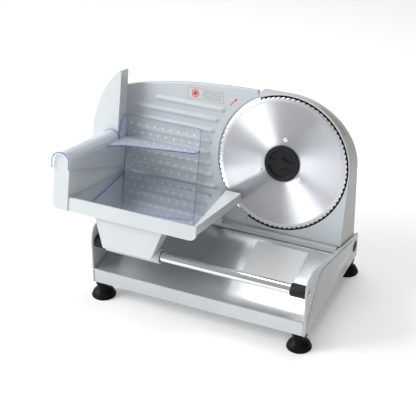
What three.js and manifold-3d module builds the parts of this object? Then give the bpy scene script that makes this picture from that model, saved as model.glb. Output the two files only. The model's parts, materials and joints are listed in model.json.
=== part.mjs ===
// A compact electric food slicer: a sheet-metal base on four suction feet, a leaning head with a
// serrated disc blade and its worm drive, a gauge plate that sets the slice, and a food carriage
// with a clear pusher that runs across on a chrome rod. Millimetres, +X right, +Y rearwards, +Z up.
import * as THREE from 'three';
import { mergeVertices } from 'three/addons/utils/BufferGeometryUtils.js';
import Module from 'manifold-3d';

const wasm = await Module();
wasm.setup();

// ---- Driving dimensions ----
const GAP = 0.3; // clearance between pieces that touch

const BASE_WIDTH = 320;
const BASE_DEPTH = 221;
const BASE_BOTTOM = 25.5; // height of the suction feet
const SHEET = 1.8;
const CHEEK_SHEET = 2.5;
const APRON_TOP = 48;
const APRON_LEDGE = 25; // depth of the flat strip behind the apron
const RIDGE_Y = 143; // the pan climbs to this ridge under the head
const RIDGE_TOP = 79.5;
const PAN_BACK_TOP = 62.2;
const CHEEK_TOP = 114;
const CHEEK_BACK_TOP = 64;

const FOOT_INSET = 10.75;
const FOOT_RADIUS = 17.5;
const BOLT_RADIUS = 2.5;

const ROD_Y = 12.5;
const ROD_Z = 87.8;
const ROD_RADIUS = 7;
const ROD_BUSH = { radius: 9, left: 17.5, right: 23 };

const HEAD = { x: 218.4, y: 163.5, z: 183.3 }; // blade centre, on the plane of the blade's front rim
const LEAN = THREE.MathUtils.degToRad(12); // blade, gauge plate and carriage lean back together

const BLADE_RADIUS = 95;
const BLADE_TEETH = 80;
const TOOTH_DEPTH = 1.5;
const BLADE_SCREW_CIRCLE = 35;
const BLADE_SCREW_ANGLES = [86.6, 206.6, -33.4];
const LOCK_RADIUS = 25.5;
const SPINDLE_RADIUS = 6;

const FACE = 1; // the head's front face lies this far behind the blade's rim
const POCKET_RADIUS = 97.2;
const POCKET_DEPTH = 8;
const TOWER = { left: -44, right: 98.7, bottom: -102, wall: 2.5, corner: 5 };
const TOWER_BACK = { y: 208, z: 72, slope: 0.0556 }; // the back leans forward a little as it rises
const TOWER_BACK_RISE = 0.96; // the top rounds off towards the back
const TOWER_BACK_DROP = 1.14; // and the foot follows the pan down

const GEAR_TEETH = 48;
const GEAR_MODULE = 1.5;
const GEAR_PITCH_RADIUS = (GEAR_TEETH * GEAR_MODULE) / 2;
const GEAR_WIDTH = 10;
const GEAR_MIDDLE = 30.5; // how far behind the blade's rim the worm runs
const WORM_PITCH_RADIUS = 6;
const WORM_LENGTH = 13;
const WORM_DROP = GEAR_PITCH_RADIUS + WORM_PITCH_RADIUS;
const THREAD = { root: 4.4, tip: 7.1, rootHalf: 1.3, tipHalf: 0.5 };
const MOTOR = { radius: 18, from: 39, to: 89 };
const HUMP = { left: -40.5, right: 92.5, shoulder: 58, bottom: 80, slope: 175, top: 234, depth: 11.5,
  wall: 2.2 }; // the back cover's bulge over the drive

const PLATE = { left: -255, right: -47.5, bottom: -62, leftTop: 68.5, rightTop: 97.5 };
const PLATE_CUT = 97.5; // the plate is cut round the blade
const PLATE_FACE = 3.7;
const PLATE_SHEET = 3;
const PLATE_RIM = 8.3;
const RIB = { pitch: 16.5, top: 59, count: 8, crest: 1.5, half: 4, ends: 114, left: -234 };
const GUIDE_BAR_RADIUS = 4;
const GUIDE_BARS = [-198, -118];
const GUIDE_BAR_HEIGHT = -40;
const KNOB = { x: -158, z: -32, radius: 17, from: 34, to: 68 };
const UPRIGHT = { left: -214, right: -104, from: 26, to: 33, top: -12 };
const CHANNEL_TOP = -64.5;
const CHANNEL_BACK = 45;

const TRAY = { left: -242, right: -50, front: -168, back: -7, floor: -57, sheet: 3 };
const TRAY_NOSE = -76; // the tray's back right corner tapers in to this
const APRON = { bottom: -75, top: -55.5, sheet: 4, round: 10 };
const WALL = { outer: -265.5, front: -169.5, back: -3, shoulder: -5, sheet: 2.5 };
const FIN = { left: -286.5, right: -245, top: 95, bottom: -30, front: -27, back: -5 };
const LEG = { front: -8, back: 24, top: 172, bottom: 93, boss: 10.5, from: 21.5, to: 104 };
const RAIL = { left: -212, right: 96, front: -8, back: 0.6, bottom: -109.5, top: -102 };

const PUSHER = { sheet: 2, front: -174, archBack: -30, archBottom: -15, right: -123, top: 28,
  bottom: -55, plate: -6.4 };
const PUSHER_GAP = 0.4;

// ---- Finishes ----
const PAINT = { color: 0xc6ced4, roughness: 0.45, metalness: 0.15 };
const SIDE_PAINT = { color: 0xa7a9a8, roughness: 0.5, metalness: 0.15 };
const PAN_STEEL = { color: 0xb4bbc0, roughness: 0.3, metalness: 0.5 };
const STAINLESS = { color: 0xb8bdc4, roughness: 0.15, metalness: 1 };
const BLADE_STEEL = { color: 0xc4c8ce, roughness: 0.28, metalness: 1 };
const CHROME = { color: 0xd8d8d8, roughness: 0.08, metalness: 1 };
const ZINC = { color: 0xb9b39c, roughness: 0.35, metalness: 1 };
const BLACK = { color: 0x141416, roughness: 0.5, metalness: 0 };
const RUBBER = { color: 0x0f0f10, roughness: 0.7, metalness: 0 };
const NYLON = { color: 0xd9d6c8, roughness: 0.6, metalness: 0 };
const BRONZE = { color: 0xa27b45, roughness: 0.4, metalness: 0.9 };
const MOTOR_STEEL = { color: 0x8e9296, roughness: 0.4, metalness: 0.9 };
const CLEAR = { color: 0xb9c2ec, roughness: 0.05, metalness: 0, transparent: true, opacity: 0.35 };

// ---- Solids ----

// The closed solid of a geometry, with its shared corners merged and its faces turned outwards.
function closed(geometry) {
  const bare = geometry.index ? geometry.toNonIndexed() : geometry;
  const merged = mergeVertices(
    new THREE.BufferGeometry().setAttribute('position', bare.getAttribute('position')), 1e-4);
  const corners = Float32Array.from(merged.attributes.position.array);
  const faces = Uint32Array.from(merged.index.array);
  const solid = () => new wasm.Manifold(
    new wasm.Mesh({ numProp: 3, vertProperties: corners, triVerts: faces }));
  const first = solid();
  if (first.volume() > 0) return first;
  for (let i = 0; i < faces.length; i += 3) {
    [faces[i + 1], faces[i + 2]] = [faces[i + 2], faces[i + 1]];
  }
  return solid();
}

// Turns a geometry whose length runs along +Z so that it runs along the named axis.
const AXES = {
  x: new THREE.Matrix4().makeBasis(vec(0, 1, 0), vec(0, 0, 1), vec(1, 0, 0)),
  y: new THREE.Matrix4().makeBasis(vec(1, 0, 0), vec(0, 0, 1), vec(0, -1, 0)),
  z: new THREE.Matrix4(),
};

function vec(x, y, z) {
  return new THREE.Vector3(x, y, z);
}

function box(x0, x1, y0, y1, z0, z1) {
  const block = new THREE.BoxGeometry(x1 - x0, y1 - y0, z1 - z0);
  return closed(block.translate((x0 + x1) / 2, (y0 + y1) / 2, (z0 + z1) / 2));
}

// A flat outline drawn in the two axes across "along", drawn out from one place to the other.
function drawnOut(shape, along, from, to, curveSegments) {
  const drawn = new THREE.ExtrudeGeometry(shape, {
    depth: to - from, bevelEnabled: false, curveSegments });
  const start = { x: [from, 0, 0], y: [0, to, 0], z: [0, 0, from] }[along];
  return drawn.applyMatrix4(AXES[along]).translate(...start);
}

function prism(shape, along, from, to, curveSegments = 8) {
  return closed(drawnOut(shape, along, from, to, curveSegments));
}

function circle(radius, u = 0, v = 0) {
  const round = new THREE.Shape();
  round.absarc(u, v, radius, 0, Math.PI * 2);
  return round;
}

// A whole circle drawn with "curveSegments" has twice as many sides.
function cylinder(along, radius, from, to, [u, v] = [0, 0], sides = 16) {
  return prism(circle(radius, u, v), along, from, to, sides / 2);
}

// A tube or ring between two radii.
function ring(along, outer, inner, from, to, [u, v] = [0, 0], sides = 16) {
  const band = circle(outer, u, v);
  band.holes.push(circle(inner, u, v));
  return prism(band, along, from, to, sides / 2);
}

// A closed outline; a third number at a corner rounds it.
function outline(corners) {
  const shape = new THREE.Shape();
  const towards = ([u, v], [p, q], reach) => {
    const length = Math.hypot(p - u, q - v);
    return [u + ((p - u) * reach) / length, v + ((q - v) * reach) / length];
  };
  corners.forEach(([u, v, round = 0], i) => {
    const enter = towards([u, v], corners.at(i - 1), round);
    const leave = towards([u, v], corners[(i + 1) % corners.length], round);
    if (i === 0) shape.moveTo(...enter);
    else shape.lineTo(...enter);
    if (round) shape.quadraticCurveTo(u, v, ...leave);
  });
  shape.closePath();
  return shape;
}

// A solid of revolution about the Y axis, from a closed profile of [radius, y] points.
function turned(profile, sides) {
  const points = [...profile, profile[0]].map(([r, y]) => new THREE.Vector2(r, y));
  return closed(new THREE.LatheGeometry(points, sides));
}

// ---- The assembly ----
const slicer = new THREE.Group();
const base = new THREE.Group();
const head = new THREE.Group();
slicer.add(base);
base.add(head);
head.position.set(HEAD.x, HEAD.y, HEAD.z);
head.rotation.x = -LEAN;
head.updateMatrix();
const intoHead = head.matrix.clone().invert();

function add(group, name, solid, finish) {
  const { vertProperties, triVerts, numProp } = solid.getMesh();
  const geometry = new THREE.BufferGeometry();
  const corners = new Float32Array((vertProperties.length / numProp) * 3);
  for (let i = 0; i < corners.length; i += 1) {
    corners[i] = vertProperties[Math.floor(i / 3) * numProp + (i % 3)];
  }
  geometry.setAttribute('position', new THREE.BufferAttribute(corners, 3));
  geometry.setIndex([...triVerts]);
  geometry.computeVertexNormals();
  const mesh = new THREE.Mesh(geometry, new THREE.MeshStandardMaterial(finish));
  mesh.name = name;
  group.add(mesh);
  return mesh;
}

// ---- Base ----
const panLeft = CHEEK_SHEET + GAP;
const panRight = BASE_WIDTH - CHEEK_SHEET - GAP;
const panBack = BASE_DEPTH - 1.5;

// The pan: front apron, ledge, long ramp up to the ridge, slope down to the back wall.
function basePan() {
  const skin = [
    [0, BASE_BOTTOM], [0, APRON_TOP], [APRON_LEDGE, APRON_TOP + 1], [RIDGE_Y, RIDGE_TOP],
    [RIDGE_Y + 4, RIDGE_TOP], [panBack, PAN_BACK_TOP], [panBack, BASE_BOTTOM],
  ];
  const lining = [
    [panBack - SHEET, BASE_BOTTOM], [panBack - SHEET, PAN_BACK_TOP - SHEET],
    [RIDGE_Y + 4, RIDGE_TOP - SHEET], [RIDGE_Y, RIDGE_TOP - SHEET],
    [APRON_LEDGE, APRON_TOP + 1 - SHEET], [SHEET, APRON_TOP - SHEET], [SHEET, BASE_BOTTOM],
  ];
  return prism(outline([...skin, ...lining]), 'x', panLeft, panRight)
    .subtract(cylinder('y', GLAND.neck + GAP, panBack - 4, panBack + 2, [GLAND.x, GLAND.z]));
}

function bottomCover() {
  const plate = box(panLeft, panRight, SHEET + GAP, panBack - SHEET - GAP,
    BASE_BOTTOM, BASE_BOTTOM + 1.5);
  return footPlaces().reduce((sheet, { at }) => sheet.subtract(
    cylinder('z', BOLT_RADIUS + GAP, BASE_BOTTOM - 1, BASE_BOTTOM + 3, at, 12)), plate);
}

// A side cheek: tall round-shouldered nose at the front, sloping down to the back.
function cheek(from, to) {
  const side = outline([
    [0, BASE_BOTTOM], [BASE_DEPTH, BASE_BOTTOM], [BASE_DEPTH, CHEEK_BACK_TOP, 3],
    [26, CHEEK_TOP, 6], [4, CHEEK_TOP, 14], [0, 92, 6],
  ]);
  return prism(side, 'x', from, to, 6)
    .subtract(cylinder('x', ROD_SCREW.shank + GAP, from - 1, to + 1, [ROD_Y, ROD_Z], 12));
}

function footPlaces() {
  const xs = { left: FOOT_INSET, right: BASE_WIDTH - FOOT_INSET };
  const ys = { front: FOOT_INSET, rear: BASE_DEPTH - FOOT_INSET };
  return Object.entries(ys).flatMap(([row, y]) => Object.entries(xs).map(
    ([side, x]) => ({ name: `${row}_${side}`, at: [x, y] })));
}

// A rubber suction foot: wide cup, waist, and a collar under the bottom cover.
function suctionFoot([x, y]) {
  const top = BASE_BOTTOM - GAP;
  const profile = [
    [0, 4], [9, 3.2], [12.5, 0], [FOOT_RADIUS, 0], [FOOT_RADIUS, 1.5], [15.8, 5.5],
    [10.8, 11.5], [9.2, 14], [9.2, 19], [10.6, 20.5], [10.6, top], [BOLT_RADIUS + GAP, top],
    [BOLT_RADIUS + GAP, 14], [0, 14],
  ];
  return closed(new THREE.LatheGeometry(profile.map(([r, z]) => new THREE.Vector2(r, z)), 16)
    .rotateX(Math.PI / 2).translate(x, y, 0));
}

function footBolt([x, y]) {
  const seat = BASE_BOTTOM + 1.5 + GAP;
  return cylinder('z', BOLT_RADIUS, 14.5, seat + 1, [x, y], 12)
    .add(cylinder('z', 4.6, seat, seat + 3, [x, y], 6));
}

// ---- Carriage rod ----
const ROD_SCREW = { head: 3.6, shank: 2, reach: 10 };

function guideRod() {
  const ends = [CHEEK_SHEET + GAP, BASE_WIDTH - CHEEK_SHEET - GAP];
  const bores = ends.map((end) => cylinder('x', ROD_SCREW.shank + GAP,
    end - ROD_SCREW.reach, end + ROD_SCREW.reach, [ROD_Y, ROD_Z], 12));
  return bores.reduce((rod, bore) => rod.subtract(bore),
    cylinder('x', ROD_RADIUS, ...ends, [ROD_Y, ROD_Z], 24));
}

function rodBush(from, to) {
  return ring('x', ROD_BUSH.radius, ROD_RADIUS + GAP, from, to, [ROD_Y, ROD_Z], 20);
}

function rodScrew(side) {
  const outside = side < 0 ? -GAP : BASE_WIDTH + GAP;
  const span = (reach) => [outside, outside + side * reach].sort((a, b) => a - b);
  return cylinder('x', ROD_SCREW.head, ...span(2), [ROD_Y, ROD_Z], 16)
    .add(cylinder('x', ROD_SCREW.shank, ...span(-ROD_SCREW.reach), [ROD_Y, ROD_Z], 12));
}

// ---- Switch and cord gland in the base ----
const BUTTON = { y: 205, z: 50, radius: 6.8, bezel: 8.8, travel: 3 };
const GLAND = { x: 60, z: 44, neck: 5, bore: 3.4 };

function powerButton() {
  const at = [BUTTON.y, BUTTON.z];
  return cylinder('x', BUTTON.radius, 314.5, BASE_WIDTH + 2.2, at)
    .add(cylinder('x', BUTTON.bezel, 314.5, 316.5, at));
}

function cordGland() {
  return ring('y', 8, GLAND.bore, panBack + GAP, panBack + 3, [GLAND.x, GLAND.z])
    .add(ring('y', GLAND.neck, GLAND.bore, panBack - 7, panBack + 1, [GLAND.x, GLAND.z]));
}

// ---- Head shell ----

// The head's outline seen square on: upright sides under a round top about the blade.
function towerShape({ left, right, bottom, corner }) {
  const top = right * Math.cos(THREE.MathUtils.degToRad(5));
  const shape = new THREE.Shape();
  shape.moveTo(left, bottom);
  shape.lineTo(right, bottom);
  shape.absarc(0, 0, right, 0, THREE.MathUtils.degToRad(95));
  shape.lineTo(left + corner, top - 0.04 * (corner - left) + 1.6);
  shape.quadraticCurveTo(left, top - 0.04 * -left, left, top - corner - 1.5);
  shape.closePath();
  return shape;
}

// How far back the head's upright back face stands at a height above the ground.
function backAt(z) {
  return TOWER_BACK.y - TOWER_BACK.slope * (z - TOWER_BACK.z);
}

// A height on the front outline, carried to the back face.
function heightAtBack(v) {
  return HEAD.z + v * (v > 0 ? TOWER_BACK_RISE : TOWER_BACK_DROP);
}

// The outline drawn out from the leaning front face to the back of the head, in the head's frame.
function towerBlock(shape, front, beyond) {
  const drawn = new THREE.ExtrudeGeometry(shape, { depth: 1, bevelEnabled: false, curveSegments: 16 });
  const place = drawn.attributes.position;
  for (let i = 0; i < place.count; i += 1) {
    const [x, v, t] = [place.getX(i), place.getY(i), place.getZ(i)];
    const up = heightAtBack(v);
    const back = vec(x + HEAD.x, backAt(up) + beyond, up).applyMatrix4(intoHead);
    place.setXYZ(i, x, front + (back.y - front) * t, v + (back.z - v) * t);
  }
  return closed(drawn);
}

// A slab that lies along the back face, in the base's frame, between two distances from it.
function backSlab(shape, from, to) {
  const drawn = drawnOut(shape, 'y', from, to, 10);
  const place = drawn.attributes.position;
  for (let i = 0; i < place.count; i += 1) place.setY(i, place.getY(i) + backAt(place.getZ(i)));
  return closed(drawn);
}

function towerShell() {
  const { left, right, bottom, wall, corner } = TOWER;
  const floorBack = FACE + POCKET_DEPTH + wall;
  const outer = towerBlock(towerShape({ left, right, bottom, corner }), FACE, 0);
  const pocketWall = cylinder('y', POCKET_RADIUS + wall, 0, floorBack, [0, 0], 48);
  const cavity = towerBlock(towerShape({ left: left + wall, right: right - wall,
    bottom: bottom - 20, corner: corner - 1 }), FACE + wall, 1).subtract(pocketWall);
  return outer.subtract(cavity)
    .subtract(cylinder('y', POCKET_RADIUS, -5, FACE + POCKET_DEPTH, [0, 0], 48))
    .add(cylinder('y', 13, FACE + POCKET_DEPTH, 24.5))
    .subtract(cylinder('y', 9.3, 0, 40));
}

// The cover that closes the back of the head, humped over the motor and gear, with cooling slots.
function towerBackCover() {
  const { left, right, bottom, wall } = TOWER;
  const inset = wall + 1;
  const flat = towerShape({ left: left + inset, right: right - inset, bottom: bottom + 1, corner: 4 });
  const rim = new THREE.Shape(flat.getPoints(24).map(
    ({ x, y }) => new THREE.Vector2(x + HEAD.x, heightAtBack(y))));
  const hump = (shrink) => outline([
    [HEAD.x + HUMP.left + shrink, HUMP.bottom + shrink, 10],
    [HEAD.x + HUMP.right - shrink, HUMP.bottom + shrink, 10],
    [HEAD.x + HUMP.right - shrink, HUMP.slope, 24],
    [HEAD.x + HUMP.shoulder, HUMP.top - shrink, 24],
    [HEAD.x + HUMP.left + shrink, HUMP.top - shrink, 20]]);
  const pocketWall = drawnOut(circle(POCKET_RADIUS + wall + GAP), 'y', -5,
    FACE + POCKET_DEPTH + wall + GAP, 32).applyMatrix4(head.matrix);
  let cover = backSlab(rim, -3, -0.6).add(backSlab(hump(0), -3, HUMP.depth))
    .subtract(backSlab(hump(HUMP.wall), -6, HUMP.depth - HUMP.wall))
    .subtract(closed(pocketWall));
  for (let i = 0; i < 7; i += 1) {
    const z = 104 + i * 8;
    cover = cover.subtract(backSlab(outline([[HEAD.x + 6, z], [HEAD.x + 70, z],
      [HEAD.x + 70, z + 3.4], [HEAD.x + 6, z + 3.4]]), HUMP.depth - 4, HUMP.depth + 2));
  }
  return cover;
}

function rearGuideRail() {
  const { left, right, front, back, bottom, top } = RAIL;
  const section = outline([[front, bottom], [back, bottom + 4.2], [back, top], [front, top, 2]]);
  return prism(section, 'x', left, right, 3);
}

// ---- Blade and drive ----

// A dished disc with a bevelled, scalloped rim and a pressed seat for the lock.
function blade() {
  const profile = [
    [BLADE_RADIUS, 0.9], [88.5, 0], [29, 1.6], [27, 4.5], [SPINDLE_RADIUS + GAP, 4.5],
    [SPINDLE_RADIUS + GAP, 6], [28.3, 6], [30.4, 3.1], [BLADE_RADIUS - 0.6, 1.4],
  ];
  const points = [...profile, profile[0]].map(([r, y]) => new THREE.Vector2(r, y));
  const disc = new THREE.LatheGeometry(points, BLADE_TEETH * 2);
  const place = disc.attributes.position;
  for (let i = 0; i < place.count; i += 1) {
    const [x, z] = [place.getX(i), place.getZ(i)];
    const radius = Math.hypot(x, z);
    const step = Math.round((Math.atan2(z, x) / Math.PI) * BLADE_TEETH);
    if (radius < BLADE_RADIUS - 1 || step % 2 === 0) continue;
    place.setX(i, (x * (radius - TOOTH_DEPTH)) / radius);
    place.setZ(i, (z * (radius - TOOTH_DEPTH)) / radius);
  }
  return bladeScrewPlaces().reduce((disk, at) => disk.subtract(
    cylinder('y', 1.9, -1, 9, at, 10)), closed(disc));
}

function bladeScrewPlaces() {
  return BLADE_SCREW_ANGLES.map(THREE.MathUtils.degToRad).map(
    (turn) => [BLADE_SCREW_CIRCLE * Math.cos(turn), BLADE_SCREW_CIRCLE * Math.sin(turn)]);
}

// The plate behind the blade that the three screws hold it to.
function driveFlange() {
  const bore = SPINDLE_RADIUS + GAP;
  const plate = turned([[bore, 6.3], [31.5, 6.3], [33, 3.4], [40, 3.4], [40, 8.4], [bore, 8.4]], 36);
  return bladeScrewPlaces().reduce((disk, at) => disk.subtract(
    cylinder('y', 1.9, 0, 9, at, 10)), plate);
}

function bladeScrew(at) {
  return cylinder('y', 3, 0.2, 1.2, at, 12).add(cylinder('y', 1.5, 1, 8, at, 10));
}

// The black lock on the blade's centre: a disc with a sunk ring that leaves a finger bar.
function bladeLock() {
  const [front, back] = [-0.8, 4.2];
  const sunk = ring('y', 20, 8, front - 1, 1.8, [0, 0], 28)
    .subtract(box(-22, 22, front - 2, 3, -4, 4));
  return cylinder('y', LOCK_RADIUS, front, back, [0, 0], 36)
    .subtract(cylinder('y', SPINDLE_RADIUS + GAP, 1.2, back + 1, [0, 0], 20))
    .subtract(sunk);
}

// A gear whose teeth slant to follow the worm's thread.
function bladeGear() {
  const pitch = (2 * Math.PI) / GEAR_TEETH;
  const [root, tip] = [GEAR_PITCH_RADIUS - 1.8, GEAR_PITCH_RADIUS + 1.1];
  const [rootHalf, tipHalf] = [1.3 / root, 0.5 / tip];
  const rim = new THREE.Shape();
  for (let i = 0; i < GEAR_TEETH; i += 1) {
    const middle = (i + 0.5) * pitch - Math.PI / 2;
    [[root, -rootHalf], [tip, -tipHalf], [tip, tipHalf], [root, rootHalf]].forEach(([r, side], k) => {
      const at = [r * Math.cos(middle + side), r * Math.sin(middle + side)];
      if (i === 0 && k === 0) rim.moveTo(...at);
      else rim.lineTo(...at);
    });
  }
  rim.closePath();
  rim.holes.push(circle(SPINDLE_RADIUS + GAP));
  const slant = GEAR_MODULE / 2 / WORM_PITCH_RADIUS / GEAR_PITCH_RADIUS;
  return twisted(rim, GEAR_WIDTH, 1, slant, 'y', GEAR_MIDDLE + GEAR_WIDTH / 2, 10);
}

// An outline drawn out along an axis and turned as it goes, by "turn" radians a millimetre,
// with no turn at the middle of its length.
function twisted(shape, length, steps, turn, along, end, curveSegments) {
  const drawn = new THREE.ExtrudeGeometry(shape, {
    depth: length, steps, bevelEnabled: false, curveSegments });
  const place = drawn.attributes.position;
  for (let i = 0; i < place.count; i += 1) {
    const angle = (place.getZ(i) - length / 2) * turn;
    const [u, v] = [place.getX(i), place.getY(i)];
    place.setX(i, u * Math.cos(angle) - v * Math.sin(angle));
    place.setY(i, u * Math.sin(angle) + v * Math.cos(angle));
  }
  const shift = along === 'y' ? [0, end, 0] : [end - length, 0, 0];
  return closed(drawn.applyMatrix4(AXES[along]).translate(...shift));
}

// The motor's shaft with its worm: one start, standing at rest in the gear's lowest tooth space.
function wormShaft() {
  const lead = Math.PI * GEAR_MODULE;
  const section = new THREE.Shape();
  const points = 18;
  for (let i = 0; i < points; i += 1) {
    const angle = (i / points) * 2 * Math.PI - Math.PI;
    const reach = (Math.abs(angle) * lead) / (2 * Math.PI);
    const slope = (THREAD.rootHalf - reach) / (THREAD.rootHalf - THREAD.tipHalf);
    const height = THREE.MathUtils.clamp(slope, 0, 1);
    const radius = THREAD.root + (THREAD.tip - THREAD.root) * height;
    const at = [radius * Math.cos(angle + Math.PI / 2), radius * Math.sin(angle + Math.PI / 2)];
    if (i === 0) section.moveTo(...at);
    else section.lineTo(...at);
  }
  section.closePath();
  const worm = twisted(section, WORM_LENGTH, 33, (2 * Math.PI) / lead, 'x', WORM_LENGTH / 2, 1);
  return worm.add(cylinder('x', 2.5, -31, MOTOR.from + 22, [0, 0], 16));
}

function motorBody() {
  const at = [GEAR_MIDDLE, -WORM_DROP];
  return cylinder('x', MOTOR.radius, MOTOR.from, MOTOR.to, at, 28)
    .subtract(cylinder('x', 2.5 + GAP, MOTOR.from - 1, MOTOR.from + 24, at, 16));
}

function wormBearing() {
  const front = FACE + POCKET_DEPTH + TOWER.wall + GAP;
  return box(-38, -27, front, GEAR_MIDDLE + 7, -WORM_DROP - 8, -WORM_DROP + 8)
    .subtract(cylinder('x', 2.5 + GAP, -33, -20, [GEAR_MIDDLE, -WORM_DROP], 16));
}

// ---- Gauge plate ----

// The plate's outline, drawn in by "inset" all round: bowed top, and a bite round the blade.
function plateShape(inset) {
  const { left, right, bottom, leftTop, rightTop } = PLATE;
  const cut = PLATE_CUT + inset;
  const lowest = bottom + inset;
  const arcStart = Math.acos((right + 3 - inset) / cut);
  const arcEnd = 2 * Math.PI - Math.acos(-Math.sqrt(cut ** 2 - lowest ** 2) / cut);
  const shape = new THREE.Shape();
  shape.moveTo(left + inset, lowest);
  shape.lineTo(left + inset, leftTop - inset);
  shape.bezierCurveTo(-195, leftTop + 19 - inset, -120, 94.5 - inset,
    right - inset - 4, rightTop - inset);
  shape.lineTo(right - inset, rightTop - inset - 1.5);
  shape.absarc(0, 0, cut, arcStart, arcEnd);
  shape.closePath();
  return shape;
}

function gaugePlate() {
  const shell = prism(plateShape(0), 'y', PLATE_FACE, PLATE_FACE + PLATE_RIM, 24)
    .subtract(prism(plateShape(2.5), 'y', PLATE_FACE + PLATE_SHEET, PLATE_FACE + PLATE_RIM + 1, 24));
  const { pitch, top, count, crest, half, ends, left } = RIB;
  let plate = shell;
  for (let i = 0; i < count; i += 1) {
    const z = top - i * pitch;
    const right = z ** 2 < ends ** 2 ? -Math.sqrt(ends ** 2 - z ** 2) : left;
    const section = outline([[PLATE_FACE + 1, z - half], [crest, z - half * 0.3],
      [crest, z + half * 0.3], [PLATE_FACE + 1, z + half]]);
    plate = plate.add(prism(section, 'x', i === 0 ? left + 34 : left, right));
  }
  return plate;
}

// The channel that carries the plate's slides, with a low front wall that runs on to the head.
function gaugeHousing() {
  const { left, right, from, to, top } = UPRIGHT;
  const wall = 3;
  const channel = (inset, fall) => outline([[FACE + inset, -102 - fall], [CHANNEL_BACK - inset,
    -105.5 - fall], [CHANNEL_BACK - inset, CHANNEL_TOP - inset], [FACE + inset, CHANNEL_TOP - inset]]);
  const lowWall = box(right - 1, TOWER.left - GAP, FACE, FACE + wall, -102, CHANNEL_TOP)
    .subtract(cylinder('y', POCKET_RADIUS, 0, 9, [0, 0], 48));
  const upright = box(left, right, from, to, CHANNEL_TOP - 1, top);
  const bores = GUIDE_BARS.map((x) => cylinder('y', 6.2 + GAP, 20, 40, [x, GUIDE_BAR_HEIGHT]));
  bores.push(cylinder('y', GUIDE_BAR_RADIUS + 1, 20, 40, [KNOB.x, KNOB.z]));
  return bores.reduce((body, bore) => body.subtract(bore),
    prism(channel(0, 0), 'x', left, right)
      .subtract(prism(channel(wall, 9), 'x', left + wall, right - wall))
      .add(lowWall).add(upright));
}

function thicknessKnob() {
  const at = [KNOB.x, KNOB.z];
  const bore = cylinder('y', GUIDE_BAR_RADIUS + GAP, KNOB.from - 1, KNOB.to - 2, at);
  const grips = [];
  for (let i = 0; i < 12; i += 1) {
    const turn = (i / 12) * 2 * Math.PI;
    grips.push(cylinder('y', 2.2, KNOB.from + 8, KNOB.to + 1, [
      KNOB.x + (KNOB.radius + 0.8) * Math.cos(turn), KNOB.z + (KNOB.radius + 0.8) * Math.sin(turn)], 8));
  }
  return grips.reduce((knob, grip) => knob.subtract(grip),
    cylinder('y', KNOB.radius, KNOB.from, KNOB.to, at, 36).subtract(bore));
}

// ---- Food carriage ----

// The carriage casting: slanted tray bed, front apron, hollow side wall and the tall hand guard.
function carriageFrame() {
  const { left, right, front, back, floor, sheet } = TRAY;
  const bed = prism(outline([[left - 3, front], [right, front], [right - 3, back],
    [left - 3, back]]), 'z', floor - sheet, floor);
  const rim = prism(outline([[right - 3, front], [right, front], [right - 3, back],
    [TRAY_NOSE, back]]), 'z', floor - sheet - 7, floor + 3.5);
  const apron = prism(outline([[left - 3, APRON.bottom], [right, APRON.bottom, APRON.round],
    [right, APRON.top], [left - 3, APRON.top]]), 'y', front, front + APRON.sheet, 6);
  return wall(0).add(fin(0)).subtract(wall(WALL.sheet)).subtract(fin(WALL.sheet))
    .add(bed).add(rim).add(apron);
}

// The side wall with its round ridge; drawn in by "inset" and open below, it is the wall's hollow.
function wall(inset) {
  const { outer, front, back, shoulder } = WALL;
  const [low, high] = [outer + inset, TRAY.left - inset];
  const radius = (high - low) / 2;
  const section = new THREE.Shape();
  const bottom = APRON.bottom - inset * 4;
  section.moveTo(high, bottom);
  section.lineTo(high, shoulder);
  section.absarc(high - radius, shoulder, radius, 0, Math.PI);
  section.lineTo(low, bottom + APRON.round);
  section.quadraticCurveTo(low, bottom, low + APRON.round - inset, bottom);
  section.closePath();
  return prism(section, 'y', front + inset, back - inset, 10);
}

// The hand guard: a fin that rises behind the wall, hollow from the back.
function fin(inset) {
  const { left, top, bottom, front, back } = FIN;
  const right = FIN.right - inset;
  const shape = new THREE.Shape();
  shape.moveTo(right, bottom + inset);
  shape.lineTo(right, top - 4 - inset);
  shape.quadraticCurveTo(right, top - inset, right - 3, top - inset);
  shape.bezierCurveTo(-268, 78 - inset, left + 1 + inset, 44, left + inset, -2);
  shape.quadraticCurveTo(left + inset, bottom + inset, left + 14 + inset, bottom + inset);
  shape.closePath();
  return prism(shape, 'y', front + inset, back + inset * 2, 10);
}

function foodTray() {
  const { left, right, front, back, floor } = TRAY;
  return prism(outline([[left + GAP, front + APRON.sheet + GAP],
    [right - 4.2, front + APRON.sheet + GAP], [TRAY_NOSE - 1, back], [left + GAP, back]]),
    'z', floor + GAP, floor + GAP + 1);
}

// The leg under the tray: a tapered hollow box that ends in the boss round the rod.
function carriageLeg() {
  const { front, back, top, bottom, boss, from, to } = LEG;
  const panel = (inset) => outline([[7.3 + inset, top], [23.6 + inset, bottom + inset],
    [97.3 - inset, bottom + inset], [128.5 - inset, top]]);
  const underTray = new THREE.BoxGeometry(600, 400, 200)
    .translate(0, -100, TRAY.floor - TRAY.sheet - GAP + 100).applyMatrix4(head.matrix);
  return prism(panel(0), 'y', front, back)
    .subtract(prism(panel(2.5), 'y', front + 2.5, back + 1))
    .add(cylinder('x', boss, from, to, [ROD_Y, ROD_Z], 20))
    .subtract(cylinder('x', 8.3, from - 1, to + 1, [ROD_Y, ROD_Z], 20))
    .subtract(closed(underTray));
}

function legBush(from, to) {
  return ring('x', 8, ROD_RADIUS + GAP, from, to, [ROD_Y, ROD_Z], 20);
}

// The shoe under the tray's back edge that rides on the rear rail.
function rearSlider() {
  const [low, high] = [-90, -77];
  const hang = TRAY.floor - TRAY.sheet - GAP;
  return box(low, high, -11.6, -8.6, -106, hang)
    .add(box(low, high, -9, -1.5, RAIL.top + GAP, RAIL.top + 3.3));
}

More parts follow.
